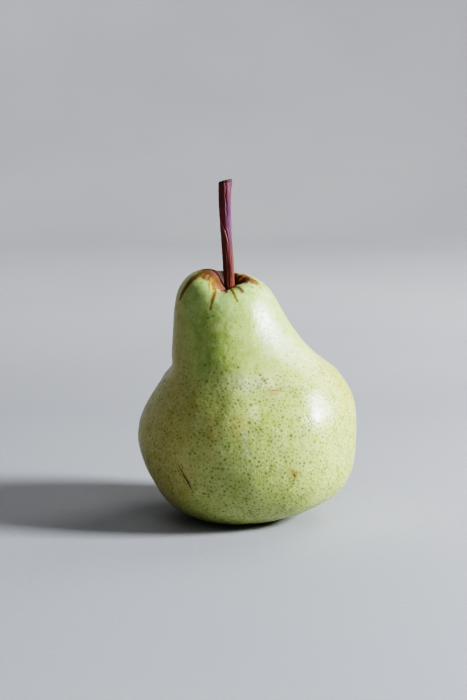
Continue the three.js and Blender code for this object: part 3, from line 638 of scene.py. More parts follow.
def stem_lines(z, deg, radius_mm):
    """Depth from the creases and ridges, and how much of each is at a place: painted shade in the creases, painted
    highlight on the ridges.
    """
    lift, painted_shade, painted_highlight = np.zeros(z.shape), np.zeros(z.shape), np.zeros(z.shape)
    for depth_, half, line in STEM_LINES:
        line = np.array(sorted(line))
        ang = np.degrees(np.unwrap(np.radians(line[:, 1])))
        wander = 1.8 * np.sin(z * 1.3 + half * 40) + 1.0 * np.sin(z * 2.9 + depth_ * 25)
        d = away(deg, np.interp(z, line[:, 0], ang) + wander) * np.pi / 180 * radius_mm
        fade = np.clip((z - line[0, 0] + 0.4) / 1.2, 0, 1) * np.clip((line[-1, 0] - z + 0.4) / 1.2, 0, 1)
        g = np.exp(-0.5 * (d / half) ** 2) * fade
        lift += depth_ * g
        # painted shade in a crease by its depth, painted highlight on a ridge by its height
        if depth_ < 0:
            painted_shade = np.maximum(painted_shade, g * min(1.0, -depth_ / 0.24))
        else:
            painted_highlight = np.maximum(painted_highlight, g * min(1.0, max(0.0, depth_ - 0.08) / 0.05))
    return lift, painted_shade, painted_highlight


def build_stem():
    z_side = np.concatenate([np.linspace(76.8, 79.6, 18), np.linspace(79.75, 115.4, 226)])
    rings, info, painted_sheen_rows = [], [], []
    deg = np.arange(STEM_AROUND) * 360.0 / STEM_AROUND
    th = np.radians(deg)
    for z in z_side:
        x, y, r = (np.interp(z, STEM[:, 0], STEM[:, j]) for j in (1, 2, 3))
        twist = -0.055 * (z - 73.6)
        fade = np.clip((z - 78) / 8, 0, 1)
        r_mm = r * (1 + fade * (0.10 * np.cos(2 * (th - twist) - 0.6) + 0.055 * np.cos(3 * (th - 1.4 * twist) + 0.9)))
        zz = np.full(deg.shape, z)
        lift, painted_shade, painted_highlight = stem_lines(zz, deg, r)
        grain = np.array([noise.noise(Vector((math.cos(t) * 3.0 + 3, math.sin(t) * 3.0 - 6, z * 0.12 + 4))) * 0.085
                          + noise.noise(Vector((math.cos(t) * 8.0 - 2, math.sin(t) * 8.0 + 5, z * 0.30))) * 0.030
                          + noise.noise(Vector((math.cos(t) * 2.0, math.sin(t) * 2.0 + 9, z * 0.60 + 8))) * 0.050 for t in th])
        low = np.clip((z - 77.5) / 2.5, 0.15, 1)
        r_mm = r_mm + lift * low + grain * low
        tilt = np.clip((z - 112) / 4, 0, 1) * 0.10
        px, py = r_mm * np.cos(th), r_mm * np.sin(th)
        rings.append(np.stack([x + px, y + py, z + tilt * px], -1))
        info.append(np.stack([painted_shade, painted_highlight, np.full(deg.shape, (z - 78) / 38)], -1))
        # painted sheen on the side of the upper stem that faces the light, a mauve tone with a lilac painted
        # reflection, and the browner foot
        lit_side = np.clip(1.25 - np.abs(away(deg, 316.0 + 2.0 * math.sin(z * 0.7))) / 52.0, 0, 1)
        painted_sheen_rows.append(np.stack([lit_side * np.clip((z - 82.0) / 12.0, 0, 1), np.full(deg.shape, np.clip((92.0 - z) / 10.0, 0, 1)),
                              lit_side * np.clip((z - 92.0) / 8.0, 0, 1) * (0.45 + 0.55 * math.exp(-0.5 * ((z - 104.0) / 3.2) ** 2))], -1))
    # the rounded lip and the dished, split cut face
    x, y, r = STEM[-1, 1:]
    outer = rings[-1]
    mid = outer.mean(0)
    for share, up in ((0.985, 0.30), (0.955, 0.56), (0.905, 0.76), (0.84, 0.86), (0.76, 0.84), (0.67, 0.70), (0.57, 0.52),
                      (0.46, 0.40), (0.35, 0.34), (0.24, 0.26), (0.13, 0.14)):
        ring = mid + (outer - mid) * share
        ring[:, 2] = outer[:, 2] * share + mid[2] * (1 - share) + up + 0.16 * (ring[:, 0] - mid[0]) * min(1.0, up / 0.5)
        rough = np.array([noise.noise(Vector((p[0] * 1.9, p[1] * 1.9, 3.3))) * 0.16 + noise.noise(Vector((p[0] * 4.7, p[1] * 4.7, 7.1))) * 0.08
                          for p in ring.tolist()])
        ring[:, 2] += rough * np.clip((0.97 - share) / 0.15, 0, 1)
        rings.append(ring)
        # painted shade in the dished middle; the lip's pale ring is partly its own colour, partly a painted highlight
        # strongest towards the light
        lip = 1.0 if 0.72 < share < 0.97 else 0.0
        info.append(np.stack([np.full(deg.shape, 0.9 * (share < 0.66)), np.full(deg.shape, 0.85 * lip) * np.clip(0.55 + 0.6 * np.cos(th - 0.1), 0.1, 1),
                              np.full(deg.shape, 1.02)], -1))
        painted_sheen_rows.append(np.zeros((len(deg), 3)))
    rings = np.array(rings) + SHIFT
    head = rings[-1].mean(0)
    pts_, faces_ = tube(rings, rings[0].mean(0) - np.array([0, 0, 0.15]), head - np.array([0, 0, 0.05]))
    if volume_sign(pts_, faces_) < 0:
        faces_ = [tuple(reversed(f)) for f in faces_]
    ob = new_object("stem_wood", pts_, faces_)
    info = np.concatenate([np.array(info).reshape(-1, 3), [[0, 0, 0], [0.9, 0, 1.03]]])
    vector_attribute(ob, "bark", "POINT", info)
    vector_attribute(ob, "painted_sheen", "POINT", np.concatenate([np.array(painted_sheen_rows).reshape(-1, 3), np.zeros((2, 3))]))
    return ob


stem = build_stem()

# ------------------------------------------------------------------ the dried calyx
CALYX = np.array([-0.60, -0.30, 0.0])
BLADE = np.array([[1.80, 4.76, 0.62], [2.30, 4.20, 0.86], [3.05, 3.52, 1.00], [4.00, 2.92, 0.98], [5.00, 2.42, 0.82], [5.90, 2.08, 0.56], [6.60, 1.92, 0.26]])
SEPALS = [(14, 1.00, 0.35, 1.12), (88, 0.90, 0.60, 1.04), (158, 1.05, 0.25, 1.16), (231, 0.94, 0.50, 1.06), (303, 1.02, 0.40, 1.10)]


def build_sepal(index, turn, length, curl, half):
    th = math.radians(turn)
    outward, across = np.array([math.cos(th), math.sin(th), 0]), np.array([-math.sin(th), math.cos(th), 0])
    up = np.array([0, 0, 1.0])
    n, m = 46, 40
    t = np.linspace(0, 1, n)
    q = t * (len(BLADE) - 1)
    r, z, w = (spline(BLADE[:, j], q) for j in range(3))
    r = BLADE[0, 0] + (r - BLADE[0, 0]) * length
    z = z + curl * np.maximum(0, t - 0.45) ** 2 * 2.2
    w = w * half
    rings = []
    for i in range(n):
        j0, j1 = max(0, i - 1), min(n - 1, i + 1)
        tangent = (r[j1] - r[j0]) * outward + (z[j1] - z[j0]) * up
        tangent /= np.linalg.norm(tangent)
        normal = np.cross(across, tangent)
        ring = []
        for s_ in range(m):
            a_ = 2 * math.pi * s_ / m
            sx = math.cos(a_)
            edge_wave = 1 + 0.10 * noise.noise(Vector((t[i] * 7 + index * 9, math.copysign(4.0, sx), 1.0)))
            across_mm = w[i] * sx * edge_wave
            thick = 0.20 * (1 - 0.45 * sx * sx) * (1.15 - 0.5 * t[i])
            vein = 0.10 * math.exp(-(sx / 0.16) ** 2) + 0.05 * math.cos(sx * 11 + index)
            rumple = 0.16 * noise.noise(Vector((t[i] * 5 + index * 3, sx * 1.6, index * 1.7))) \
                + 0.05 * noise.noise(Vector((t[i] * 17 + index, sx * 6, 4.2)))
            off = thick * math.sin(a_) + vein * (1 if math.sin(a_) < 0 else 0.4) * -0.5 - 0.22 * sx * sx + rumple
            ring.append(CALYX + r[i] * outward + z[i] * up + across_mm * across + off * normal)
        rings.append(ring)
    rings = np.array(rings)
    tip = rings[-1].mean(0) + outward * 0.32 * length + up * 0.02
    pts_, faces_ = tube(rings + SHIFT, rings[0].mean(0) + up * 0.06 + SHIFT, tip + SHIFT)
    if volume_sign(pts_, faces_) < 0:
        faces_ = [tuple(reversed(f)) for f in faces_]
    ob = new_object(f"calyx_leaf_{index}", pts_, faces_)
    share = np.concatenate([np.repeat(t, m), [0.0, 1.0]])
    side = np.concatenate([np.tile(np.abs(np.cos(2 * np.pi * np.arange(m) / m)), n), [0.0, 0.0]])
    vector_attribute(ob, "leaf", "POINT", np.stack([share, side, np.full(len(share), index / 5)], -1))
    return ob


sepals = [build_sepal(i + 1, *row) for i, row in enumerate(SEPALS)]


def build_tuft():
    """Withered stamens: thin bent threads with small heads, packed round a short hollow."""
    draw = np.random.default_rng(77)
    pts_, faces_, share = [], [], []
    golden = math.pi * (3 - math.sqrt(5))
    for i in range(30):
        rr = 1.05 * math.sqrt((i + 0.6) / 30)
        a_ = i * golden
        foot = CALYX + np.array([rr * math.cos(a_) * 0.72, rr * math.sin(a_) * 0.72, 5.30])
        lean = 0.34 + 0.30 * draw.random()
        bend = draw.normal(0, 0.16, 2)
        tip_z = 2.75 + 0.85 * draw.random() + 0.5 * (1 - rr)
        head = CALYX + np.array([rr * math.cos(a_) * (1 + lean * 0.35) + bend[0], rr * math.sin(a_) * (1 + lean * 0.35) + bend[1], tip_z])
        mid = (foot + head) / 2 + np.array([draw.normal(0, 0.13), draw.normal(0, 0.13), 0])
        thick = 0.095 + 0.035 * draw.random()
        n, m = 11, 8
        base = len(pts_)
        for s_ in range(n):
            t = s_ / (n - 1)
            p = (1 - t) ** 2 * foot + 2 * t * (1 - t) * mid + t * t * head
            swell = 1.0 if t < 0.78 else 1.0 + 0.95 * math.sin((t - 0.78) / 0.22 * math.pi)
            r_ = thick * swell * (0.55 if s_ == n - 1 else 1)
            for q in range(m):
                b_ = 2 * math.pi * q / m
                rr_ = r_ * (1 + 0.16 * math.cos(3 * b_ + i + 4 * t))
                pts_.append(p + np.array([rr_ * math.cos(b_), rr_ * math.sin(b_), 0]))
                share.append((t, i / 30, draw.random()))
        for s_ in range(n - 1):
            for q in range(m):
                q2 = (q + 1) % m
                faces_.append((base + s_ * m + q, base + s_ * m + q2, base + (s_ + 1) * m + q2, base + (s_ + 1) * m + q))
        for end, s_ in ((foot, 0), (head - np.array([0, 0, 0.03]), n - 1)):
            pts_.append(np.array(end))
            share.append((1.0 if s_ else 0.0, i / 30, 0.5))
            f = len(pts_) - 1
            ring = [base + s_ * m + q for q in range(m)]
            for q in range(m):
                q2 = (q + 1) % m
                faces_.append((f, ring[q2], ring[q]) if s_ == 0 else (f, ring[q], ring[q2]))
    faces_ = [tuple(reversed(f)) for f in faces_]
    pts_ = [p + SHIFT for p in pts_]
    if volume_sign(pts_, faces_) < 0:
        faces_ = [tuple(reversed(f)) for f in faces_]
    ob = new_object("stamens", pts_, faces_)
    vector_attribute(ob, "thread", "POINT", np.array(share))
    return ob


tuft = build_tuft()


# ------------------------------------------------------------------ materials
class Graph:
    """A small helper round a material's node tree."""

    def __init__(self, name):
        self.mat = bpy.data.materials.new(name)
        self.mat.use_nodes = True
        self.tree = self.mat.node_tree
        self.tree.nodes.clear()
        self.out = self.tree.nodes.new("ShaderNodeOutputMaterial")
        self.bsdf = self.tree.nodes.new("ShaderNodeBsdfPrincipled")
        self.tree.links.new(self.bsdf.outputs[0], self.out.inputs[0])
        self.place = self.tree.nodes.new("ShaderNodeTexCoord").outputs["Object"]

    def put(self, socket, value):
        if isinstance(value, bpy.types.NodeSocket):
            self.tree.links.new(value, socket)
        elif socket.type == "RGBA" and hasattr(value, "__len__"):
            socket.default_value = (*value[:3], 1.0)
        else:
            socket.default_value = value

    def math(self, op, a, b=None, c=None, clamp=False):
        n = self.tree.nodes.new("ShaderNodeMath")
        n.operation, n.use_clamp = op, clamp
        for s_, v_ in zip(n.inputs, (a, b, c)):
            if v_ is not None:
                self.put(s_, v_)
        return n.outputs[0]

    def vmath(self, op, a, b=None, value=False):
        n = self.tree.nodes.new("ShaderNodeVectorMath")
        n.operation = op
        self.put(n.inputs[0], a)
        if b is not None:
            if op == "SCALE":
                self.put(n.inputs["Scale"], b)
            else:
                self.put(n.inputs[1], b)
        return n.outputs["Value" if value else "Vector"]

    def mix(self, fac, a, b, kind="MIX"):
        n = self.tree.nodes.new("ShaderNodeMix")
        n.data_type, n.blend_type, n.clamp_factor = "RGBA", kind, True
        self.put(n.inputs[0], fac)
        self.put(n.inputs[6], a)
        self.put(n.inputs[7], b)
        return n.outputs[2]

    def step(self, x, lo, hi, to_lo=0.0, to_hi=1.0, smooth=True):
        n = self.tree.nodes.new("ShaderNodeMapRange")
        n.interpolation_type = "SMOOTHSTEP" if smooth else "LINEAR"
        n.clamp = True
        for key, v_ in ((0, x), (1, lo), (2, hi), (3, to_lo), (4, to_hi)):
            self.put(n.inputs[key], v_)
        return n.outputs[0]

    def noise(self, scale, detail=2.0, rough=0.5, at=None, w=0.0, distort=0.0):
        n = self.tree.nodes.new("ShaderNodeTexNoise")
        n.noise_dimensions = "4D"
        self.put(n.inputs["Vector"], at or self.place)
        n.inputs["W"].default_value = w
        n.inputs["Scale"].default_value = scale
        n.inputs["Detail"].default_value = detail
        n.inputs["Roughness"].default_value = rough
        n.inputs["Distortion"].default_value = distort
        return n.outputs["Fac"]

    def cells(self, scale, feature="F1", at=None, w=0.0):
        n = self.tree.nodes.new("ShaderNodeTexVoronoi")
        n.voronoi_dimensions, n.feature = "3D", feature
        self.put(n.inputs["Vector"], at or self.place)
        n.inputs["Scale"].default_value = scale
        return n.outputs["Distance"]

    def attr(self, name):
        n = self.tree.nodes.new("ShaderNodeAttribute")
        n.attribute_type, n.attribute_name = "GEOMETRY", name
        return n.outputs["Vector"]

    def split(self, v_):
        n = self.tree.nodes.new("ShaderNodeSeparateXYZ")
        self.put(n.inputs[0], v_)
        return n.outputs

    def stretch(self, scale):
        n = self.tree.nodes.new("ShaderNodeMapping")
        self.put(n.inputs["Vector"], self.place)
        n.inputs["Scale"].default_value = scale
        return n.outputs[0]

    def bump(self, height, distance, normal=None, strength=1.0):
        n = self.tree.nodes.new("ShaderNodeBump")
        n.inputs["Strength"].default_value = strength
        n.inputs["Distance"].default_value = distance
        self.put(n.inputs["Height"], height)
        if normal is not None:
            self.put(n.inputs["Normal"], normal)
        return n.outputs[0]


def skin_material():
    g = Graph("pear_skin")
    M = g.math
    green, warm, russet = g.split(g.attr("zones"))
    painted_highlight, yellow, _ = g.split(g.attr("tones"))
    cavity, basin, high = g.split(g.attr("place"))

    # ground colour: pale yellow-green on the belly, cooler on the neck, with soft patches
    broad = g.noise(40.0, 3.0, 0.55, w=1.0)
    patch = g.noise(115.0, 4.0, 0.60, w=2.0)
    blotch = g.noise(310.0, 4.0, 0.62, w=3.0)
    grain = g.noise(1500.0, 3.0, 0.6, w=4.0)
    base = g.mix(g.step(broad, 0.32, 0.68), (0.398, 0.430, 0.150), (0.472, 0.490, 0.190))
    base = g.mix(M("MULTIPLY", high, 0.70), base, (0.286, 0.438, 0.180))
    greener = M("ADD", green, M("MULTIPLY", M("SUBTRACT", patch, 0.5), 0.9))
    base = g.mix(g.step(greener, 0.02, 1.0, 0.0, 0.86), base, (0.240, 0.312, 0.045))
    warmer = M("ADD", warm, M("MULTIPLY", M("SUBTRACT", broad, 0.5), 0.9))
    base = g.mix(g.step(warmer, 0.05, 1.0, 0.0, 0.92), base, (0.452, 0.345, 0.095))
    # cloudy mottling under the skin
    base = g.mix(g.step(blotch, 0.38, 0.70, 0.0, 0.46), base, (0.512, 0.540, 0.250))
    base = g.mix(g.step(blotch, 0.50, 0.26, 0.0, 0.50), base, (0.275, 0.335, 0.060))
    # painted highlight and sheen: paler, whiter patches where the light glints, cooler on the neck
    painted_sheen_patch = M("ADD", painted_highlight, M("MULTIPLY", M("SUBTRACT", g.noise(230.0, 3.0, 0.6, w=17.0), 0.55), 1.1))
    base = g.mix(g.step(painted_sheen_patch, 0.12, 0.95, 0.0, 0.66), base, g.mix(M("MULTIPLY", high, 0.9), (0.575, 0.600, 0.375), (0.450, 0.602, 0.425)))
    golder = M("ADD", yellow, M("MULTIPLY", M("SUBTRACT", g.noise(260.0, 3.0, 0.6, w=18.0), 0.62), 1.3))
    base = g.mix(g.step(golder, 0.14, 0.95, 0.0, 0.52), base, (0.338, 0.355, 0.052))
    base = g.mix(g.step(grain, 0.30, 0.72, 0.0, 0.22), base, (0.540, 0.560, 0.265))

    # lenticels, with much smaller and fainter ones between them
    wob = M("MULTIPLY", M("SUBTRACT", g.noise(2300.0, 2.0, 0.5, w=5.0), 0.5), 0.00032)
    core_all, halo_all, brown_all = 0.0, 0.0, 0.0
    for i in range(NEAR):
        at = g.attr(f"dot_at_{i}")
        radius_, power, brown_ = g.split(g.attr(f"dot_is_{i}"))
        d = M("ADD", g.vmath("LENGTH", g.vmath("SUBTRACT", g.place, at), value=True), wob)
        core = M("MULTIPLY", g.step(M("DIVIDE", d, radius_), 1.62, 0.15), power)
        halo = M("MULTIPLY", g.step(M("DIVIDE", d, radius_), 3.7, 0.9), power)
        brown_ = M("MULTIPLY", core, brown_)
        core_all = core if i == 0 else M("MAXIMUM", core_all, core)
        halo_all = halo if i == 0 else M("MAXIMUM", halo_all, halo)
        brown_all = brown_ if i == 0 else M("MAXIMUM", brown_all, brown_)
    mottle = g.noise(640.0, 3.0, 0.6, w=21.0)
    base = g.mix(g.step(mottle, 0.50, 0.70, 0.0, 0.26), base, (0.540, 0.560, 0.285))
    base = g.mix(g.step(mottle, 0.50, 0.30, 0.0, 0.30), base, (0.285, 0.335, 0.064))
    tiny = g.step(g.cells(1150.0), 0.27, 0.08)
    tiny = M("MULTIPLY", tiny, g.step(g.noise(700.0, 2.0, 0.5, w=19.0), 0.42, 0.64, 0.0, 0.50))
    base = g.mix(tiny, base, (0.190, 0.230, 0.030))
    base = g.mix(M("MULTIPLY", halo_all, 0.56), base, (0.230, 0.270, 0.064))
    base = g.mix(M("MULTIPLY", core_all, 0.90), base, (0.108, 0.126, 0.026))
    base = g.mix(M("MULTIPLY", brown_all, 0.75), base, (0.120, 0.068, 0.013))

    # the russet of the cavity and the basin, ragged at its edge, and deep in the cavity darkened with painted shade
    tatter = M("ADD", M("MULTIPLY", M("SUBTRACT", g.noise(560.0, 4.0, 0.66, w=6.0), 0.5), 1.7),
               M("MULTIPLY", M("SUBTRACT", g.noise(190.0, 2.0, 0.5, w=7.0), 0.5), 0.8))
    rusty = g.step(M("ADD", russet, tatter), 0.30, 0.85)
    # the russet is darker the deeper it lies in the cavity: dark russet with painted shade
    tone = g.step(M("ADD", g.noise(430.0, 4.0, 0.6, w=8.0), M("MULTIPLY", cavity, -0.40)), 0.22, 0.66)
    rust = g.mix(tone, (0.062, 0.021, 0.005), (0.175, 0.066, 0.013))
    rust = g.mix(g.step(g.noise(1700.0, 3.0, 0.65, w=9.0), 0.50, 0.74, 0.0, 0.34), rust, (0.270, 0.135, 0.045))
    # painted shade: deep in the stem cavity the russet goes near-black
    rust = g.mix(M("MULTIPLY", cavity, 0.80), rust, (0.050, 0.016, 0.010))
    rust = g.mix(M("MULTIPLY", basin, 0.80), rust, (0.135, 0.082, 0.034))
    base = g.mix(rusty, base, rust)

    # thin streaks, scratches and rubs
    fray = M("ADD", M("SUBTRACT", g.noise(850.0, 4.0, 0.66, w=10.0), 0.5), M("MULTIPLY", M("SUBTRACT", g.noise(2600.0, 2.0, 0.6, w=20.0), 0.5), 0.5))
    marked, cut = 0.0, 0.0
    for tag in "cba":
        p0, p1 = g.attr(f"mark_{tag}_from"), g.attr(f"mark_{tag}_to")
        wide, ragged, soft = g.split(g.attr(f"mark_{tag}_size"))
        power = g.split(g.attr(f"mark_{tag}_power"))[0]
        ap, ab = g.vmath("SUBTRACT", g.place, p0), g.vmath("SUBTRACT", p1, p0)
        t = M("DIVIDE", g.vmath("DOT_PRODUCT", ap, ab, value=True), g.vmath("DOT_PRODUCT", ab, ab, value=True), clamp=True)
        d = g.vmath("LENGTH", g.vmath("SUBTRACT", ap, g.vmath("SCALE", ab, t)), value=True)
        d = M("ADD", d, M("MULTIPLY", fray, M("MULTIPLY", ragged, 2.6)))
        edge_in, edge_out = M("SUBTRACT", wide, M("MULTIPLY", soft, 0.8)), M("ADD", wide, soft)
        m = M("MULTIPLY", g.step(M("DIVIDE", M("SUBTRACT", d, edge_in), M("SUBTRACT", edge_out, edge_in)), 1.0, 0.0), power)
        own = g.attr(f"mark_{tag}_colour")
        speck = g.noise(1250.0, 4.0, 0.65, w=11.0)
        colour = g.mix(g.step(speck, 0.46, 0.72, 0.0, 0.55), own, g.vmath("SCALE", own, 1.65))
        colour = g.mix(g.step(speck, 0.50, 0.28, 0.0, 0.55), colour, g.vmath("SCALE", own, 0.55))
        # a streak is a little lighter at its edge than down its middle
        colour = g.mix(g.step(M("DIVIDE", d, wide), 0.25, 1.05, 0.0, 0.40), g.vmath("SCALE", colour, 0.88), g.vmath("SCALE", own, 1.5))
        base = g.mix(m, base, colour)
        marked = m if tag == "c" else M("MAXIMUM", marked, m)
    g.put(g.bsdf.inputs["Base Color"], base)

    # gloss: a thin wax, duller over russet and marks
    rough = g.step(g.noise(260.0, 4.0, 0.6, w=12.0), 0.25, 0.75, 0.29, 0.41)
    rough = M("ADD", rough, M("MULTIPLY", core_all, 0.24))
    dull = M("MAXIMUM", rusty, M("MULTIPLY", marked, 0.85))
    rough = M("ADD", M("MULTIPLY", rough, M("SUBTRACT", 1.0, dull)), M("MULTIPLY", dull, 0.74))
    g.put(g.bsdf.inputs["Roughness"], rough)
    wax = M("MULTIPLY", g.step(g.noise(300.0, 3.0, 0.6, w=13.0), 0.30, 0.70, 0.08, 0.17), M("SUBTRACT", 1.0, M("MAXIMUM", dull, M("MULTIPLY", core_all, 0.60))))
    g.put(g.bsdf.inputs["Coat Weight"], wax)
    g.bsdf.inputs["Coat Roughness"].default_value = 0.22
    g.bsdf.inputs["IOR"].default_value = 1.46
    g.bsdf.inputs["Subsurface Weight"].default_value = 0.10
    g.bsdf.inputs["Subsurface Radius"].default_value = (0.0024, 0.0020, 0.0008)
    g.bsdf.inputs["Subsurface Scale"].default_value = 1.0

    # relief: soft pebbling, pores, rough russet, cut scratches
    pebble = M("ADD", M("MULTIPLY", g.noise(560.0, 2.0, 0.5, w=14.0), 1.0), M("MULTIPLY", g.noise(1700.0, 2.0, 0.5, w=15.0), 0.42))
    n1 = g.bump(pebble, 0.00017)
    n2 = g.bump(M("MULTIPLY", core_all, -1.0), 0.000055, n1)
    scurf = M("MULTIPLY", g.noise(2300.0, 4.0, 0.65, w=16.0), dull)
    n3 = g.bump(M("ADD", scurf, M("MULTIPLY", marked, -0.25)), 0.00016, n2)
    g.put(g.bsdf.inputs["Normal"], n3)
    return g.mat


def stem_material():
    g = Graph("stem_bark")
    M = g.math
    painted_shade, painted_highlight, up = g.split(g.attr("bark"))
    painted_sheen, base_, painted_lilac_reflection = g.split(g.attr("painted_sheen"))
    long_fibre = g.noise(1.0, 4.0, 0.6, at=g.stretch((1500.0, 1500.0, 110.0)), w=1.0)
    fibre = g.noise(1.0, 3.0, 0.6, at=g.stretch((3800.0, 3800.0, 300.0)), w=2.0)
    blotch = g.noise(230.0, 4.0, 0.6, w=3.0)
    low = g.mix(base_, (0.200, 0.058, 0.024), (0.215, 0.070, 0.030))
    body = g.mix(g.step(up, 0.05, 0.55), low, (0.190, 0.052, 0.036))
    # painted sheen: the upper stem's side towards the light is tinted mauve, then lilac as a painted reflection
    body = g.mix(M("MULTIPLY", painted_sheen, 0.80), body, (0.125, 0.044, 0.055))
    body = g.mix(M("MULTIPLY", painted_lilac_reflection, 0.92), body, (0.150, 0.083, 0.168))
    body = g.mix(g.step(blotch, 0.38, 0.68, 0.0, 0.45), body, (0.110, 0.022, 0.017))
    body = g.mix(g.step(long_fibre, 0.48, 0.76, 0.0, 0.26), body, (0.225, 0.088, 0.098))
    body = g.mix(g.step(long_fibre, 0.49, 0.26, 0.0, 0.50), body, (0.066, 0.013, 0.011))
    body = g.mix(g.step(fibre, 0.54, 0.80, 0.0, 0.16), body, (0.300, 0.150, 0.160))
    # painted highlight along the ridges, then painted shade in the creases
    body = g.mix(M("MULTIPLY", painted_highlight, 0.50), body, g.mix(g.step(up, 0.55, 0.80), (0.400, 0.230, 0.190), (0.200, 0.105, 0.105)))
    body = g.mix(M("MULTIPLY", painted_shade, 0.58), body, (0.055, 0.010, 0.012))
    # corky flecks, and the dark cut end with its pale ring, the ring partly its own paler rim, partly a painted
    # highlight strongest towards the light
    fleck = g.step(g.noise(800.0, 3.0, 0.7, w=4.0), 0.68, 0.76, 0.0, 0.40)
    body = g.mix(fleck, body, (0.380, 0.230, 0.170))
    end = g.step(up, 0.985, 1.01)
    cut = g.mix(g.noise(1400.0, 3.0, 0.6, w=5.0), (0.034, 0.017, 0.014), (0.105, 0.055, 0.038))
    ring = g.mix(g.noise(1100.0, 3.0, 0.6, w=6.0), (0.050, 0.025, 0.028), (0.105, 0.062, 0.080))
    face = g.mix(g.step(painted_highlight, 0.2, 0.7), cut, ring)
    body = g.mix(end, body, face)
    g.put(g.bsdf.inputs["Base Color"], body)
    rough = g.step(long_fibre, 0.25, 0.75, 0.44, 0.58)
    g.put(g.bsdf.inputs["Roughness"], M("ADD", rough, M("MULTIPLY", end, 0.30)))
    g.bsdf.inputs["IOR"].default_value = 1.42
    g.bsdf.inputs["Specular IOR Level"].default_value = 0.36
    g.put(g.bsdf.inputs["Coat Weight"], M("MULTIPLY", g.step(blotch, 0.3, 0.7, 0.04, 0.12), M("SUBTRACT", 1.0, end)))
    g.bsdf.inputs["Coat Roughness"].default_value = 0.30
    n1 = g.bump(M("ADD", long_fibre, M("MULTIPLY", fibre, 0.5)), 0.00020)
    n2 = g.bump(g.noise(1300.0, 4.0, 0.6, w=7.0), 0.00007, n1)
    g.put(g.bsdf.inputs["Normal"], n2)
    return g.mat


def sepal_material():
    g = Graph("dried_calyx")
    M = g.math
    along_, side, which = g.split(g.attr("leaf"))
    coarse = g.noise(420.0, 4.0, 0.62, w=1.0)
    fine = g.noise(2300.0, 4.0, 0.65, w=2.0)
    body = g.mix(g.step(coarse, 0.30, 0.70), (0.052, 0.030, 0.014), (0.170, 0.100, 0.044))
    body = g.mix(g.step(fine, 0.50, 0.80, 0.0, 0.60), body, (0.300, 0.200, 0.100))
    body = g.mix(g.step(along_, 0.60, 1.0, 0.0, 0.75), body, (0.026, 0.014, 0.008))
    body = g.mix(g.step(side, 0.75, 1.0, 0.0, 0.45), body, (0.240, 0.150, 0.070))
    g.put(g.bsdf.inputs["Base Color"], body)
    g.put(g.bsdf.inputs["Roughness"], g.step(coarse, 0.3, 0.7, 0.70, 0.92))
    g.put(g.bsdf.inputs["Normal"], g.bump(M("ADD", fine, coarse), 0.00030))
    return g.mat


def stamen_material():
    g = Graph("dried_stamens")
    M = g.math
    along_, which, speck = g.split(g.attr("thread"))
    coarse = g.noise(700.0, 4.0, 0.62, w=1.0)
    body = g.mix(g.step(coarse, 0.30, 0.70), (0.030, 0.018, 0.010), (0.115, 0.066, 0.030))
    body = g.mix(M("MULTIPLY", which, 0.45), body, (0.160, 0.100, 0.050))
    body = g.mix(g.step(along_, 0.74, 0.95, 0.0, 0.80), body, (0.014, 0.009, 0.007))
    g.put(g.bsdf.inputs["Base Color"], body)
    g.put(g.bsdf.inputs["Roughness"], g.step(coarse, 0.3, 0.7, 0.78, 0.95))
    g.put(g.bsdf.inputs["Normal"], g.bump(g.noise(3600.0, 3.0, 0.6, w=2.0), 0.00020))
    return g.mat


def table_material():
    g = Graph("table")
    soft = g.noise(3.0, 3.0, 0.55, w=1.0)
    fine = g.noise(420.0, 3.0, 0.6, w=2.0)
    body = g.mix(g.step(soft, 0.3, 0.7), (0.350, 0.350, 0.355), (0.382, 0.381, 0.380))
    g.put(g.bsdf.inputs["Base Color"], body)
    g.put(g.bsdf.inputs["Roughness"], g.step(fine, 0.3, 0.7, 0.62, 0.78))
    g.put(g.bsdf.inputs["Normal"], g.bump(fine, 0.00006))
    return g.mat


for ob, mat in ((skin, skin_material()), (stem, stem_material()), (tuft, stamen_material())):
    ob.data.materials.append(mat)
leaf_material = sepal_material()
for ob in sepals:
    ob.data.materials.append(leaf_material)

# ------------------------------------------------------------------ riding on the frame
for ob, node, slot_name in [(skin, "fruit", "pear_skin"), (stem, "stem", "stem_bark"), (tuft, "stamen_tuft", "dried_stamens")] \
        + [(ob, f"sepal_{i + 1}", "dried_calyx") for i, ob in enumerate(sepals)]:
    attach(ob, "root")
    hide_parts(node)

# ------------------------------------------------------------------ the table: a plain pale sweep
profile = [(0.0, 0.0)] + [(r_, 0.0) for r_ in (0.15, 0.4, 0.7, 1.0)] \
    + [(1.0 + 0.7 * math.sin(t), 0.7 - 0.7 * math.cos(t)) for t in np.linspace(0.06, math.pi / 2, 26)] + [(1.7, 1.0), (1.7, 1.5)]
N_SWEEP = 96
sweep_rings = np.array([[[r_ * math.cos(2 * math.pi * s_ / N_SWEEP), r_ * math.sin(2 * math.pi * s_ / N_SWEEP), z_] for s_ in range(N_SWEEP)] for r_, z_ in profile[1:]])
sweep_pts, sweep_faces = tube(sweep_rings * 1000.0, (0.0, 0.0, 0.0), None)
sweep_faces = [tuple(reversed(f)) for f in sweep_faces]
floor = new_object("table", sweep_pts, sweep_faces)
floor.data.materials.append(table_material())

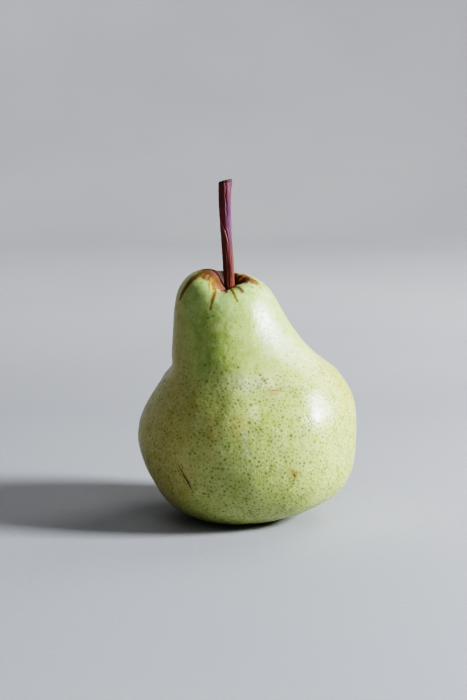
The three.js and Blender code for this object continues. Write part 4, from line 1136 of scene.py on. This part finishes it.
# ------------------------------------------------------------------ light
scene = bpy.context.scene
world = bpy.data.worlds.new("studio")
scene.world = world
world.use_nodes = True
world.node_tree.nodes["Background"].inputs["Color"].default_value = (0.80, 0.86, 1.0, 1.0)
world.node_tree.nodes["Background"].inputs["Strength"].default_value = 0.04


def area(name, towards, distance, size_x, size_y, power, colour, aim=(0.0, 0.0, 0.05)):
    data = bpy.data.lights.new(name, "AREA")
    data.shape, data.size, data.size_y = "RECTANGLE", size_x, size_y
    data.energy, data.color = power, colour
    ob = bpy.data.objects.new(name, data)
    d = Vector(towards).normalized()
    ob.location = Vector(aim) + d * distance
    ob.rotation_mode = "QUATERNION"
    ob.rotation_quaternion = d.to_track_quat("Z", "Y")
    ob.visible_camera = False
    scene.collection.objects.link(ob)
    return ob


area("window", (0.92, -0.18, 0.43), 1.05, 0.27, 0.21, 23.2, (0.93, 0.985, 1.07))
area("sky", (0.10, -0.55, 0.83), 1.30, 0.90, 0.90, 2.2, (0.955, 0.985, 1.05))
area("fill", (-0.80, -0.75, 0.45), 1.60, 1.50, 1.30, 0.10, (0.92, 0.95, 1.0))
area("back", (-0.25, 0.95, 0.55), 1.60, 1.40, 1.00, 1.2, (0.94, 0.96, 1.0))
area("edge", (0.60, 0.55, 0.60), 1.10, 0.60, 0.60, 3.0, (0.985, 0.99, 1.0))
area("wall", (0.0, -1.15, 0.30), 1.19, 1.60, 0.40, 9.0, (0.97, 0.98, 1.0), aim=(0.0, 1.55, 0.50))

# ------------------------------------------------------------------ camera
cam_data = bpy.data.cameras.new("camera")
cam = bpy.data.objects.new("camera", cam_data)
scene.collection.objects.link(cam)
pitch = math.radians(9.0)
reach = 0.570
cam.location = Vector((-0.0047, 0.0, 0.058)) - Vector((0, math.cos(pitch), -math.sin(pitch))) * reach + Vector(SHIFT * MM)
cam.rotation_euler = (math.pi / 2 - pitch, 0.0, 0.0)
cam_data.sensor_width = 36.0
cam_data.lens = 36.0 * 1653.0 / 700.0
cam_data.clip_start, cam_data.clip_end = 0.02, 20.0
scene.camera = cam

scene.view_settings.view_transform = "Filmic"
scene.view_settings.look = "Very High Contrast"
scene.view_settings.exposure = 0.0
scene.view_settings.gamma = 1.0
